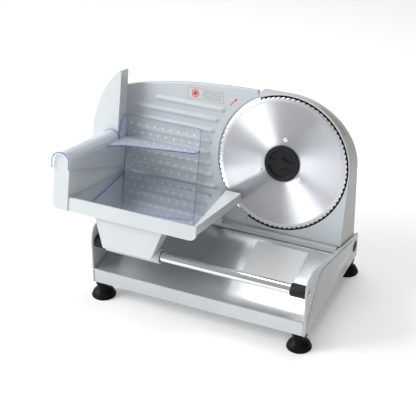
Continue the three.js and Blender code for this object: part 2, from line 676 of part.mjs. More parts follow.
// The clear pusher: a saddle handle on the wall's ridge, a side panel, the upright plate that
// presses the food, and the web that stiffens it.
function pusher() {
  const { sheet, front, archBack, archBottom, right, top, bottom, plate } = PUSHER;
  const middle = (WALL.outer + TRAY.left) / 2;
  const inner = (TRAY.left - WALL.outer) / 2 + PUSHER_GAP;
  const outer = inner + sheet;
  const arch = new THREE.Shape();
  arch.moveTo(middle + outer, archBottom);
  arch.lineTo(middle + outer, WALL.shoulder);
  arch.absarc(middle, WALL.shoulder, outer, 0, Math.PI);
  arch.lineTo(middle - outer, archBottom);
  arch.lineTo(middle - inner, archBottom);
  arch.absarc(middle, WALL.shoulder, inner, Math.PI, 0, true);
  arch.lineTo(middle + inner, archBottom);
  arch.closePath();
  const side = outline([[front, archBottom], [plate, bottom + 4.5], [plate, top], [-22, top, 8],
    [archBack, 8, 8], [archBack, WALL.shoulder], [front, WALL.shoulder]]);
  const web = outline([[middle + inner, -70], [middle + inner + 24, -50], [right, -21],
    [right, plate + 0.5], [middle + inner, plate + 0.5]]);
  const face = outline([[middle + inner, bottom], [right, bottom], [right, top, 5],
    [middle + inner, top]]);
  return prism(arch, 'y', front, archBack, 12)
    .add(prism(side, 'x', middle + inner, middle + outer, 5))
    .add(prism(face, 'y', plate, plate + 2.2, 5))
    .add(prism(web, 'z', -6, -4));
}

// ---- Put together ----
add(base, 'base_pan', basePan(), PAN_STEEL);
add(base, 'bottom_cover', bottomCover(), MOTOR_STEEL);
add(base, 'left_cheek', cheek(0, CHEEK_SHEET), SIDE_PAINT);
add(base, 'right_cheek', cheek(BASE_WIDTH - CHEEK_SHEET, BASE_WIDTH).subtract(
  cylinder('x', BUTTON.radius + GAP, 310, 325, [BUTTON.y, BUTTON.z])), SIDE_PAINT);
for (const { name, at } of footPlaces()) {
  add(base, `foot_${name}`, suctionFoot(at), RUBBER);
  add(base, `foot_bolt_${name}`, footBolt(at), ZINC);
}
add(base, 'guide_rod', guideRod(), CHROME);
add(base, 'rod_bush_left', rodBush(panLeft, panLeft + ROD_BUSH.left), BLACK);
add(base, 'rod_bush_right', rodBush(panRight - ROD_BUSH.right, panRight), BLACK);
add(base, 'rod_screw_left', rodScrew(-1), ZINC);
add(base, 'rod_screw_right', rodScrew(1), ZINC);
add(base, 'power_button', powerButton(), BLACK);
add(base, 'button_bezel', ring('x', BUTTON.bezel, BUTTON.radius + GAP, BASE_WIDTH + GAP,
  BASE_WIDTH + 1.6, [BUTTON.y, BUTTON.z]), BLACK);
add(base, 'switch_body', box(296, 311, 196, 214, 42, 58), BLACK);
add(base, 'cord_gland', cordGland(), BLACK);
add(base, 'underside_bumper', cylinder('z', 4, 20.5, BASE_BOTTOM - GAP, [313, 145], 16), RUBBER);

add(head, 'tower_shell', towerShell(), PAINT);
add(base, 'tower_back_cover', towerBackCover(), PAINT);
add(head, 'rear_guide_rail', rearGuideRail(), SIDE_PAINT);
add(head, 'spindle_bush', ring('y', 9, SPINDLE_RADIUS + GAP, 9.4, 24.5), BRONZE);
add(head, 'blade', blade(), BLADE_STEEL);
add(head, 'drive_flange', driveFlange(), BLACK);
bladeScrewPlaces().forEach((at, i) => add(head, `blade_screw_${i + 1}`, bladeScrew(at), ZINC));
add(head, 'blade_spindle', cylinder('y', SPINDLE_RADIUS, 1.5, 36), MOTOR_STEEL);
add(head, 'blade_gear', bladeGear(), NYLON);
add(head, 'blade_lock', bladeLock(), BLACK);
add(head, 'motor_body', motorBody(), MOTOR_STEEL);
add(head, 'worm_shaft', wormShaft(), MOTOR_STEEL).position.set(0, GEAR_MIDDLE, -WORM_DROP);
add(head, 'worm_bearing', wormBearing(), BRONZE);

add(head, 'gauge_plate', gaugePlate(), PAINT);
GUIDE_BARS.forEach((x, i) => {
  const side = ['left', 'right'][i];
  add(head, `guide_bar_${side}`, cylinder('y', GUIDE_BAR_RADIUS, PLATE_FACE + PLATE_SHEET + GAP, 48,
    [x, GUIDE_BAR_HEIGHT]), CHROME);
  add(head, `gauge_bush_${side}`, ring('y', 6.2, GUIDE_BAR_RADIUS + GAP, UPRIGHT.from, 38,
    [x, GUIDE_BAR_HEIGHT]), BRONZE);
});
add(head, 'adjust_rod', cylinder('y', GUIDE_BAR_RADIUS, PLATE_FACE + PLATE_SHEET + GAP, 52,
  [KNOB.x, KNOB.z]), ZINC);
add(head, 'gauge_housing', gaugeHousing(), PAINT);
add(head, 'thickness_knob', thicknessKnob(), BLACK);

add(head, 'carriage_frame', carriageFrame(), PAINT);
add(head, 'food_tray', foodTray(), STAINLESS);
add(base, 'carriage_leg', carriageLeg(), PAINT);
add(base, 'leg_bush_left', legBush(LEG.from, LEG.from + 12), BLACK);
add(base, 'leg_bush_right', legBush(LEG.to - 12, LEG.to), BLACK);
add(head, 'rear_slider', rearSlider(), PAINT);
add(head, 'pusher', pusher(), CLEAR);

// The origin is under the middle of the whole slicer, on the surface it stands on.
slicer.updateMatrixWorld(true);
const bounds = new THREE.Box3().setFromObject(slicer, true);
base.position.set(-(bounds.min.x + bounds.max.x) / 2, -(bounds.min.y + bounds.max.y) / 2,
  -bounds.min.z);

export default slicer;
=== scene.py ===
"""The looks of a compact electric food slicer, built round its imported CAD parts.

Sizes are in millimetres, and every mesh is written in metres in the CAD's own frame. Head pieces are
drawn face on: x to the right, s up the leaning face, and d towards the operator from the blade's rim.
"""

import json
import logging
import math
from dataclasses import dataclass
from enum import Enum
from typing import Callable, Iterable, Sequence

import bmesh
import bpy
import numpy as np
from mathutils import Matrix, Vector


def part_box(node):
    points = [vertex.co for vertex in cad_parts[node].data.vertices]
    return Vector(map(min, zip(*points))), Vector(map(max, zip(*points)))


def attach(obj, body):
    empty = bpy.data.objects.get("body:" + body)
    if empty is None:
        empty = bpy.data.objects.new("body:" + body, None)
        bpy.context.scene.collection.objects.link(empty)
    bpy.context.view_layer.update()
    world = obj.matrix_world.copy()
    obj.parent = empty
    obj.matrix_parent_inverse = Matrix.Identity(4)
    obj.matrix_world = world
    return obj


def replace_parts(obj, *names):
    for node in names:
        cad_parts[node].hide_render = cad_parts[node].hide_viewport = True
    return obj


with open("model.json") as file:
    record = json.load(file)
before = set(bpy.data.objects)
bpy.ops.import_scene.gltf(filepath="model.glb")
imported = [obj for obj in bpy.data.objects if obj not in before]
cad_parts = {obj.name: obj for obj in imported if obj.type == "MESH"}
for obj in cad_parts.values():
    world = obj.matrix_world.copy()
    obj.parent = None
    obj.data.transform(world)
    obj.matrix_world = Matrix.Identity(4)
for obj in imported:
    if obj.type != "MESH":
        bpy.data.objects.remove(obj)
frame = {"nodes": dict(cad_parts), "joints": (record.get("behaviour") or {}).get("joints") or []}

LOG = logging.getLogger("slicer")
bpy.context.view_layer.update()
MM = 0.001

Colour = tuple[float, float, float]
Flat = tuple[float, float]
Corner = tuple[float, ...]
Profile = Sequence[Flat]
Mesh = tuple[list[Vector], list[tuple[int, ...]]]
Socket = bpy.types.NodeSocket


# ---- Places ----

@dataclass(frozen=True)
class Place:
    """Axes to draw a piece in: an origin in metres and three unit directions."""

    origin: Vector
    u: Vector
    v: Vector
    w: Vector

    def at(self, u: float, v: float, w: float) -> Vector:
        """The point of the CAD's frame at these millimetres along the three directions."""
        return self.origin + (self.u * u + self.v * v + self.w * w) * MM

    def moved(self, u: float, v: float, w: float) -> "Place":
        """The same directions from another origin, in millimetres along them."""
        return Place(self.at(u, v, w), self.u, self.v, self.w)

    def turned(self, *order: str) -> "Place":
        """The same origin with its directions named anew, such as ("v", "w", "u")."""
        return Place(self.origin, *(getattr(self, name) for name in order))


def joint(name: str) -> dict:
    """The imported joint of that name."""
    return next(j for j in frame["joints"] if j["name"] == name)


def base_place() -> Place:
    """The base's own axes, from its front left corner on the worktop."""
    low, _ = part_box("left_cheek")
    return Place(Vector((low.x, low.y, 0)), Vector((1, 0, 0)), Vector((0, 1, 0)), Vector((0, 0, 1)))


def head_place() -> Place:
    """The leaning head's axes face on, from the blade's centre."""
    spin = joint("blade_spin")
    back = Vector(spin["axis"]).normalized()
    right = Vector((1, 0, 0))
    return Place(Vector(spin["pos_m"]), right, right.cross(back), -back)


BASE = base_place()
HEAD = head_place()


# ---- Meshes ----

def new_piece(name: str, mesh: Mesh, smooth: float = 35.0) -> bpy.types.Object:
    """Makes an object from points and faces, with its doubles merged and its faces turned out.

    Args:
        name: The piece's name.
        mesh: Its points in metres and its faces.
        smooth: Edges sharper than this many degrees stay sharp.

    Returns:
        The new object, at the origin.
    """
    data = bpy.data.meshes.new(name)
    data.from_pydata([tuple(p) for p in mesh[0]], [], mesh[1])
    work = bmesh.new()
    work.from_mesh(data)
    bmesh.ops.remove_doubles(work, verts=work.verts, dist=1e-7)
    bmesh.ops.recalc_face_normals(work, faces=work.faces)
    work.to_mesh(data)
    work.free()
    obj = bpy.data.objects.new(name, data)
    bpy.context.scene.collection.objects.link(obj)
    return shaded(obj, smooth)


def shaded(obj: bpy.types.Object, smooth: float = 35.0) -> bpy.types.Object:
    """Shades a piece smooth but for edges sharper than so many degrees."""
    obj.data.shade_smooth()
    obj.data.set_sharp_from_angle(angle=math.radians(smooth))
    return obj


def baked(obj: bpy.types.Object) -> bpy.types.Object:
    """Turns a piece's modifiers into its plain mesh."""
    graph = bpy.context.evaluated_depsgraph_get()
    made = bpy.data.meshes.new_from_object(obj.evaluated_get(graph))
    old = obj.data
    obj.modifiers.clear()
    obj.data = made
    if old.users == 0:
        bpy.data.meshes.remove(old)
    made.name = obj.name
    return obj


def rounded(obj: bpy.types.Object, width: float, segments: int = 3) -> bpy.types.Object:
    """Rounds a piece's sharp edges.

    Args:
        obj: The piece, its mesh closed.
        width: The rounding's width in millimetres.
        segments: How many strips make the rounding.

    Returns:
        The same object, baked.
    """
    bevel = obj.modifiers.new("edges", "BEVEL")
    bevel.width = width * MM
    bevel.segments = segments
    bevel.limit_method = "ANGLE"
    bevel.angle_limit = math.radians(32)
    bevel.miter_outer = "MITER_ARC"
    shaded(obj, 50)
    obj.modifiers.new("normals", "WEIGHTED_NORMAL").keep_sharp = True
    return baked(obj)


def softened(node: str, width: float, segments: int = 3) -> bpy.types.Object:
    """A copy of a CAD node whose facets are joined and whose edges are rounded.

    Args:
        node: The CAD node's name.
        width: The rounding's width in millimetres.
        segments: How many strips make the rounding.

    Returns:
        The new piece, named after the node and standing for it.
    """
    work = bmesh.new()
    work.from_mesh(frame["nodes"][node].data)
    bmesh.ops.remove_doubles(work, verts=work.verts, dist=4e-6)
    bmesh.ops.dissolve_degenerate(work, edges=work.edges, dist=2e-6)
    bmesh.ops.dissolve_limit(work, angle_limit=math.radians(1), verts=work.verts, edges=work.edges)
    bmesh.ops.connect_verts_concave(work, faces=work.faces)
    data = bpy.data.meshes.new(node + "_shape")
    work.to_mesh(data)
    work.free()
    obj = bpy.data.objects.new(node + "_shape", data)
    bpy.context.scene.collection.objects.link(obj)
    rounded(obj, width, segments)
    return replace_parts(obj, node)


def loft(rings: Sequence[Sequence[Vector]], closed: bool = False, caps: bool = True) -> Mesh:
    """Joins rings of equally many points into one surface.

    Args:
        rings: The rings, in order.
        closed: True if the last ring joins the first.
        caps: True to close the first and last ring with a face.

    Returns:
        The points and faces.
    """
    count = len(rings[0])
    points = [point for ring in rings for point in ring]
    faces = []
    for i in range(len(rings) if closed else len(rings) - 1):
        a, b = i * count, (i + 1) % len(rings) * count
        faces += [(a + k, a + (k + 1) % count, b + (k + 1) % count, b + k) for k in range(count)]
    if caps and not closed:
        last = (len(rings) - 1) * count
        faces += [tuple(reversed(range(count))), tuple(range(last, last + count))]
    return points, faces


def lathe(place: Place, profile: Profile, sides: int = 64) -> Mesh:
    """Turns a profile about a place's w direction.

    Args:
        place: The axes; the profile turns about w through the origin.
        profile: Points (radius, w), ending on the axis or closing on themselves.
        sides: How many sides the turned shape has.

    Returns:
        The points and faces.
    """
    turns = [2 * math.pi * k / sides for k in range(sides)]
    rings = [[place.at(r * math.cos(t), r * math.sin(t), w) for t in turns] for r, w in profile]
    ends_on_axis = profile[0][0] == 0 and profile[-1][0] == 0
    return loft(rings, closed=not ends_on_axis, caps=False)


def eased(corners: Sequence[Corner], steps: int = 6) -> list[Flat]:
    """The points of an outline whose corners with a third number are rounded by it."""
    points: list[Flat] = []
    for i, corner in enumerate(corners):
        here = Vector(corner[:2])
        if len(corner) < 3:
            points.append(tuple(here))
            continue
        before = Vector(corners[i - 1][:2]) - here
        after = Vector(corners[(i + 1) % len(corners)][:2]) - here
        start, end = here + before.normalized() * corner[2], here + after.normalized() * corner[2]
        for k in range(steps + 1):
            t = k / steps
            points.append(tuple(start * (1 - t) ** 2 + here * 2 * t * (1 - t) + end * t ** 2))
    return points


def slab(place: Place, outline: Sequence[Flat], low: float, high: float, crown: float = 0.0) -> Mesh:
    """A flat outline given a thickness along w.

    Args:
        place: The axes; the outline is in u and v.
        outline: Its points, in order.
        low: Where it starts along w.
        high: Where it ends along w.
        crown: How far the upper edge draws in, for a soft pressed edge.

    Returns:
        The points and faces.
    """
    rings = [[place.at(u, v, low) for u, v in outline]]
    if crown:
        middle = np.mean(np.array(outline), axis=0)
        rings.append([place.at(u, v, (low + high) / 2) for u, v in outline])
        drawn = []
        for u, v in outline:
            inward = Vector((middle[0] - u, middle[1] - v)).normalized() * crown
            drawn.append((u + inward.x, v + inward.y))
        rings.append([place.at(u, v, high) for u, v in drawn])
    else:
        rings.append([place.at(u, v, high) for u, v in outline])
    return loft(rings)


def joined(*meshes: Mesh) -> Mesh:
    """Several meshes as one."""
    points: list[Vector] = []
    faces: list[tuple[int, ...]] = []
    for more_points, more_faces in meshes:
        start = len(points)
        points += more_points
        faces += [tuple(i + start for i in face) for face in more_faces]
    return points, faces


def settled(obj: bpy.types.Object, place: Place) -> bpy.types.Object:
    """Moves a mesh that was drawn in millimetres about the origin to its place in the CAD's frame."""
    turn = Matrix((place.u, place.v, place.w)).transposed().to_4x4()
    obj.data.transform(Matrix.Translation(place.origin) @ turn @ Matrix.Scale(MM, 4))
    return obj


ORIGIN = Place(Vector((0, 0, 0)), Vector((1000, 0, 0)), Vector((0, 1000, 0)), Vector((0, 0, 1000)))


# ---- Geometry Nodes ----

class Number:
    """A number in a node tree, on which sums are written as in plain code."""

    def __init__(self, maker: "NodeMaker", socket: Socket) -> None:
        """Holds the socket and what makes its tree's nodes."""
        self.maker, self.socket = maker, socket

    def __add__(self, other: "Number | float") -> "Number":
        """This number with the other added."""
        return self.maker.math("ADD", self, other)

    def __sub__(self, other: "Number | float") -> "Number":
        """This number with the other taken away."""
        return self.maker.math("SUBTRACT", self, other)

    def __mul__(self, other: "Number | float") -> "Number":
        """This number times the other."""
        return self.maker.math("MULTIPLY", self, other)

    def __truediv__(self, other: "Number | float") -> "Number":
        """This number divided by the other."""
        return self.maker.math("DIVIDE", self, other)


class NodeMaker:
    """Adds nodes to a tree and links them."""

    def __init__(self, tree: bpy.types.NodeTree) -> None:
        """Works on that tree."""
        self.nodes, self.links = tree.nodes, tree.links

    def node(self, kind: str, links: dict[str | int, object] | None = None,
             **settings: object) -> bpy.types.Node:
        """Adds a node, with its settings and what feeds each of its inputs."""
        made = self.nodes.new(kind)
        for key, value in settings.items():
            setattr(made, key, value)
        for key, value in (links or {}).items():
            self.plug(value, made.inputs[key])
        return made

    def plug(self, value: object, socket: Socket) -> None:
        """Feeds an input from a number, another node's output or a plain value."""
        source = value.socket if isinstance(value, Number) else value
        if isinstance(source, bpy.types.NodeSocket):
            self.links.new(source, socket)
        else:
            socket.default_value = source

    def number(self, kind: str, links: dict[str | int, object], **settings: object) -> Number:
        """The first number that a new node gives."""
        return Number(self, self.node(kind, links, **settings).outputs[0])

    def math(self, operation: str, *values: Number | Socket | float) -> Number:
        """The result of a sum on numbers."""
        return self.number("ShaderNodeMath", dict(enumerate(values)), operation=operation)


class Tree(NodeMaker):
    """A Geometry Nodes tree under construction, with named inputs."""

    KINDS = {int: "NodeSocketInt", float: "NodeSocketFloat"}

    def __init__(self, name: str, **inputs: int | float) -> None:
        """Starts the tree.

        Args:
            name: The tree's name.
            **inputs: Each input's name and its usual value.
        """
        self.group = bpy.data.node_groups.new(name, "GeometryNodeTree")
        sockets = self.group.interface
        sockets.new_socket("Geometry", in_out="INPUT", socket_type="NodeSocketGeometry")
        for label, value in inputs.items():
            socket = sockets.new_socket(label, in_out="INPUT", socket_type=self.KINDS[type(value)])
            socket.default_value = value
        sockets.new_socket("Material", in_out="INPUT", socket_type="NodeSocketMaterial")
        sockets.new_socket("Geometry", in_out="OUTPUT", socket_type="NodeSocketGeometry")
        super().__init__(self.group)
        self.given = {out.name: Number(self, out) for out in self.node("NodeGroupInput").outputs}

    def vector(self, x: Number | float, y: Number | float, z: Number | float) -> Socket:
        """A vector from three parts."""
        return self.node("ShaderNodeCombineXYZ", {0: x, 1: y, 2: z}).outputs[0]

    def position(self) -> list[Number]:
        """The parts of each point's position."""
        here = self.node("GeometryNodeInputPosition").outputs[0]
        return [Number(self, out) for out in self.node("ShaderNodeSeparateXYZ", {0: here}).outputs]

    def finish(self, geometry: Socket) -> bpy.types.NodeTree:
        """Ends the tree in Realize Instances and Set Material."""
        real = self.node("GeometryNodeRealizeInstances", {"Geometry": geometry}).outputs[0]
        dressed = self.node("GeometryNodeSetMaterial",
                            {"Geometry": real, "Material": self.given["Material"]}).outputs[0]
        self.node("NodeGroupOutput", {"Geometry": dressed})
        return self.group


def ring_tree() -> bpy.types.NodeTree:
    """Copies of a mesh round a circle, each turned to face outwards."""
    tree = Tree("copies round a circle", Count=3, Radius=10.0, First=0.0)
    circle = tree.node("GeometryNodeMeshCircle",
                       {"Vertices": tree.given["Count"], "Radius": tree.given["Radius"]}).outputs[0]
    x, y, _ = tree.position()
    turn = tree.vector(0.0, 0.0, tree.math("ARCTAN2", y, x))
    copies = tree.node("GeometryNodeInstanceOnPoints", {
        "Points": circle, "Instance": tree.given["Geometry"], "Rotation": turn}).outputs[0]
    placed = tree.node("GeometryNodeTransform", {
        "Geometry": copies, "Rotation": tree.vector(0.0, 0.0, tree.given["First"])}).outputs[0]
    return tree.finish(placed)


def grid_tree() -> bpy.types.NodeTree:
    """Copies of a mesh in rows, every other row shifted sideways."""
    tree = Tree("copies in rows", Columns=4, Rows=3, Pitch=10.0, Rise=10.0, Stagger=0.0)
    given = tree.given
    height = (given["Rows"] - 1.0) * given["Rise"]
    grid = tree.node("GeometryNodeMeshGrid", {
        "Size X": (given["Columns"] - 1.0) * given["Pitch"], "Size Y": height,
        "Vertices X": given["Columns"], "Vertices Y": given["Rows"]}).outputs[0]
    _, y, _ = tree.position()
    row = tree.math("ROUND", (y + height * 0.5) / given["Rise"])
    shift = tree.vector(tree.math("MODULO", row, 2.0) * given["Stagger"], 0.0, 0.0)
    points = tree.node("GeometryNodeSetPosition", {"Geometry": grid, "Offset": shift}).outputs[0]
    copies = tree.node("GeometryNodeInstanceOnPoints", {
        "Points": points, "Instance": given["Geometry"]}).outputs[0]
    return tree.finish(copies)


def scallop_tree() -> bpy.types.NodeTree:
    """Cuts rounded teeth into the rim of a disc by moving its outer points in."""
    tree = Tree("scalloped rim", Count=80, Rim=95.0, Band=3.0, Depth=1.5)
    x, y, _ = tree.position()
    given = tree.given
    radius = tree.math("SQRT", x * x + y * y)
    turn = tree.math("ARCTAN2", y, x)
    wave = tree.math("ABSOLUTE", tree.math("COSINE", turn * given["Count"] * 0.5))
    reach = (radius - (given["Rim"] - given["Band"])) / given["Band"]
    share = tree.math("POWER", tree.math("MAXIMUM", reach, 0.0), 1.5)
    inward = (wave - 1.0) * share * given["Depth"] / tree.math("MAXIMUM", radius, 1.0)
    offset = tree.vector(x * inward, y * inward, 0.0)
    moved = tree.node("GeometryNodeSetPosition", {
        "Geometry": given["Geometry"], "Offset": offset}).outputs[0]
    return tree.finish(moved)


def rib_tree() -> bpy.types.NodeTree:
    """Presses round-ended ribs into a flat sheet: each runs along x and ends short of an arc."""
    tree = Tree("pressed ribs", Count=8, Pitch=16.5, Top=59.0, Half=5.2, Height=2.2, Left=-230.0,
                Indent=32.0, Ends=114.0, Sheet=-5.0)
    x, y, z = tree.position()
    given = tree.given
    row = tree.math("ROUND", (given["Top"] - y) / given["Pitch"])
    index = tree.math("MINIMUM", tree.math("MAXIMUM", row, 0.0), given["Count"] - 1.0)
    line = given["Top"] - index * given["Pitch"]
    across = y - line
    reach = tree.math("SQRT", given["Ends"] * given["Ends"] - line * line)
    start = given["Left"] + tree.math("LESS_THAN", index, 0.5) * given["Indent"]
    along = tree.math("MAXIMUM", tree.math("MAXIMUM", x + reach, start - x), 0.0)
    far = tree.math("SQRT", across * across + along * along)
    share = tree.math("MINIMUM", far / given["Half"], 1.0)
    swell = (tree.math("COSINE", share * math.pi) + 1.0) * 0.5
    height = swell * tree.math("GREATER_THAN", z, given["Sheet"]) * given["Height"]
    moved = tree.node("GeometryNodeSetPosition", {
        "Geometry": given["Geometry"], "Offset": tree.vector(0.0, 0.0, height)}).outputs[0]
    return tree.finish(moved)


class Rule(Enum):
    """The shapes and patterns that Geometry Nodes make."""

    RING = "ring"
    GRID = "grid"
    SCALLOPS = "scallops"
    RIBS = "ribs"


TREES: dict[Rule, bpy.types.NodeTree] = {
    Rule.RING: ring_tree(), Rule.GRID: grid_tree(),
    Rule.SCALLOPS: scallop_tree(), Rule.RIBS: rib_tree(),
}


def grown(obj: bpy.types.Object, rule: Rule, material: bpy.types.Material,
          **inputs: int | float) -> bpy.types.Object:
    """Runs a mesh through a Geometry Nodes tree and keeps the plain result.

    Args:
        obj: The piece, drawn in millimetres about the origin.
        rule: Which tree.
        material: The material that the tree sets.
        **inputs: Values for the tree's named inputs.

    Returns:
        The same object, baked.
    """
    modifier = obj.modifiers.new(rule.value, "NODES")
    modifier.node_group = TREES[rule]
    values = {**inputs, "Material": material}
    for item in TREES[rule].interface.items_tree:
        if item.in_out == "INPUT" and item.name in values:
            modifier[item.identifier] = values[item.name]
    return baked(obj)


# ---- Finishes ----

class Shader(NodeMaker):
    """A material's nodes round one Principled shader."""

    def __init__(self, name: str, **sockets: float | Colour) -> None:
        """Starts the material.

        Args:
            name: The material's name.
            **sockets: The Principled shader's sockets, with spaces written as underscores.
        """
        self.material = bpy.data.materials.new(name)
        self.material.use_nodes = True
        super().__init__(self.material.node_tree)
        self.main = self.nodes["Principled BSDF"]
        for key, value in sockets.items():
            socket = self.main.inputs[key.replace("_", " ")]
            socket.default_value = (*value, 1) if isinstance(value, tuple) else value
        self.coordinates = self.node("ShaderNodeTexCoord").outputs["Object"]

    def feed(self, socket: str, value: Number | Socket) -> None:
        """Links a value to one of the Principled shader's sockets."""
        self.plug(value, self.main.inputs[socket])

    def noise(self, size: float, detail: float = 3.0, stretch: Colour = (1, 1, 1)) -> Number:
        """Noise whose features are about so many millimetres across, stretched along the axes."""
        scaled = self.node("ShaderNodeMapping", {
            "Vector": self.coordinates, "Scale": tuple(1 / s for s in stretch)}).outputs[0]
        return self.number("ShaderNodeTexNoise", {
            "Vector": scaled, "Scale": 1 / (size * MM), "Detail": detail})

    def spread(self, factor: Number | Socket, low: float, high: float,
               inside: Flat = (0.3, 0.7)) -> Number:
        """A factor carried from its inside range to another range."""
        return self.number("ShaderNodeMapRange", {
            "Value": factor, "From Min": inside[0], "From Max": inside[1], "To Min": low,
            "To Max": high})

    def mix(self, factor: Number, first: Colour, second: Colour) -> Socket:
        """A colour between two, by a factor."""
        return self.node("ShaderNodeMix", {
            0: factor, 6: (*first, 1), 7: (*second, 1)}, data_type="RGBA").outputs[2]

    def bump(self, height: Number, depth: float, strength: float = 1.0) -> None:
        """Gives the surface bumps so many millimetres deep."""
        made = self.node("ShaderNodeBump", {
            "Height": height, "Distance": depth * MM, "Strength": strength})
        self.feed("Normal", made.outputs[0])


@dataclass(frozen=True)
class PaintedMetal:
    """A sprayed coat with a fine skin, faint clouds in its colour and patchy gloss."""

    name: str
    colour: Colour
    roughness: float = 0.42
    metallic: float = 0.0
    skin: float = 0.012
    coat: float = 0.15

    def build(self) -> bpy.types.Material:
        """The finish as a material."""
        made = Shader(self.name, Metallic=self.metallic, Coat_Weight=self.coat, Coat_Roughness=0.25,
                      IOR=1.48)
        clouds = made.noise(38, 4)
        darker = tuple(c * 0.955 for c in self.colour)
        made.feed("Base Color", made.mix(made.spread(clouds, 0, 1), darker, self.colour))
        grain = made.noise(0.9, 2)
        rubbed = made.spread(made.noise(14, 5), 0.93, 1.08) * self.roughness
        made.feed("Roughness", made.spread(grain, 0.96, 1.04) * rubbed)
        made.bump(grain, self.skin)
        return made.material


@dataclass(frozen=True)
class DrawnSteel:
    """Bright steel with fine lines along one axis, as rolled or ground sheet has."""

    name: str
    colour: Colour
    roughness: float = 0.2
    lines: float = 0.25
    along: Colour = (90, 1, 1)
    depth: float = 0.003

    def build(self) -> bpy.types.Material:
        """The finish as a material."""
        made = Shader(self.name, Metallic=1.0)
        streaks = made.noise(self.lines, 4, self.along)
        smears = made.noise(30, 4)
        darker = tuple(c * 0.9 for c in self.colour)
        made.feed("Base Color", made.mix(made.spread(streaks, 0, 1), darker, self.colour))
        rough = made.spread(smears, 0.85, 1.2) * self.roughness
        made.feed("Roughness", made.spread(streaks, 0.9, 1.12) * rough)
        made.bump(streaks, self.depth)
        return made.material


@dataclass(frozen=True)
class TurnedSteel:
    """Steel turned on a lathe: rings about an axis, which draw light out into wedges."""

    name: str
    colour: Colour
    centre: Vector
    axis: Vector
    roughness: float = 0.3
    stretch: float = 0.75
    ring: float = 0.35

    def build(self) -> bpy.types.Material:
        """The finish as a material."""
        made = Shader(self.name, Metallic=1.0, Anisotropic=self.stretch)
        arm = made.node("ShaderNodeVectorMath", {
            0: made.coordinates, 1: tuple(self.centre)}, operation="SUBTRACT").outputs[0]
        round_it = made.node("ShaderNodeVectorMath", {
            0: tuple(self.axis), 1: arm}, operation="CROSS_PRODUCT").outputs[0]
        radius = made.node("ShaderNodeVectorMath", {0: round_it}, operation="LENGTH").outputs["Value"]
        across = made.node("ShaderNodeVectorMath", {
            0: round_it, 1: tuple(self.axis)}, operation="CROSS_PRODUCT").outputs[0]
        tangent = made.node("ShaderNodeVectorTransform", {"Vector": across}, vector_type="VECTOR",
                            convert_from="OBJECT", convert_to="WORLD").outputs[0]
        made.feed("Tangent", made.node("ShaderNodeVectorMath", {0: tangent},
                                       operation="NORMALIZE").outputs[0])
        rings = made.number("ShaderNodeTexNoise", {
            "W": radius, "Scale": 1 / (self.ring * MM), "Detail": 3.0}, noise_dimensions="1D")
        darker = tuple(c * 0.93 for c in self.colour)
        made.feed("Base Color", made.mix(made.spread(rings, 0, 1), darker, self.colour))
        made.feed("Roughness", made.spread(rings, 0.9, 1.12) * self.roughness)
        made.bump(rings, 0.004)
        return made.material


@dataclass(frozen=True)
class Moulding:
    """Moulded plastic or rubber: a fine grain, and dust-light patches in its gloss."""

    name: str
    colour: Colour
    roughness: float = 0.42
    grain: float = 0.5
    depth: float = 0.015
    specular: float = 0.5

    def build(self) -> bpy.types.Material:
        """The finish as a material."""
        made = Shader(self.name, IOR=1.5, Specular_IOR_Level=self.specular)
        patches = made.noise(11, 4)
        lighter = tuple(min(1.0, c * 1.25 + 0.004) for c in self.colour)
        made.feed("Base Color", made.mix(made.spread(patches, 0, 1), self.colour, lighter))
        made.feed("Roughness", made.spread(patches, 0.86, 1.18) * self.roughness)
        made.bump(made.noise(self.grain, 2), self.depth)
        return made.material


@dataclass(frozen=True)
class ClearPlastic:
    """Clear plastic as thin sheet: it tints a little face on and more at a glancing angle."""

    name: str
    colour: Colour
    face_on: float
    glancing: float

    def build(self) -> bpy.types.Material:
        """The finish as a material."""
        made = Shader(self.name, IOR=1.49)
        clouds = made.noise(26, 2)
        darker = tuple(c * 0.93 for c in self.colour)
        made.feed("Base Color", made.mix(made.spread(clouds, 0, 1), darker, self.colour))
        made.feed("Roughness", made.spread(clouds, 0.04, 0.07))
        facing = made.node("ShaderNodeLayerWeight", {"Blend": 0.35}).outputs["Facing"]
        made.feed("Alpha", made.spread(facing, self.face_on, self.glancing, (0.0, 1.0)))
        return made.material


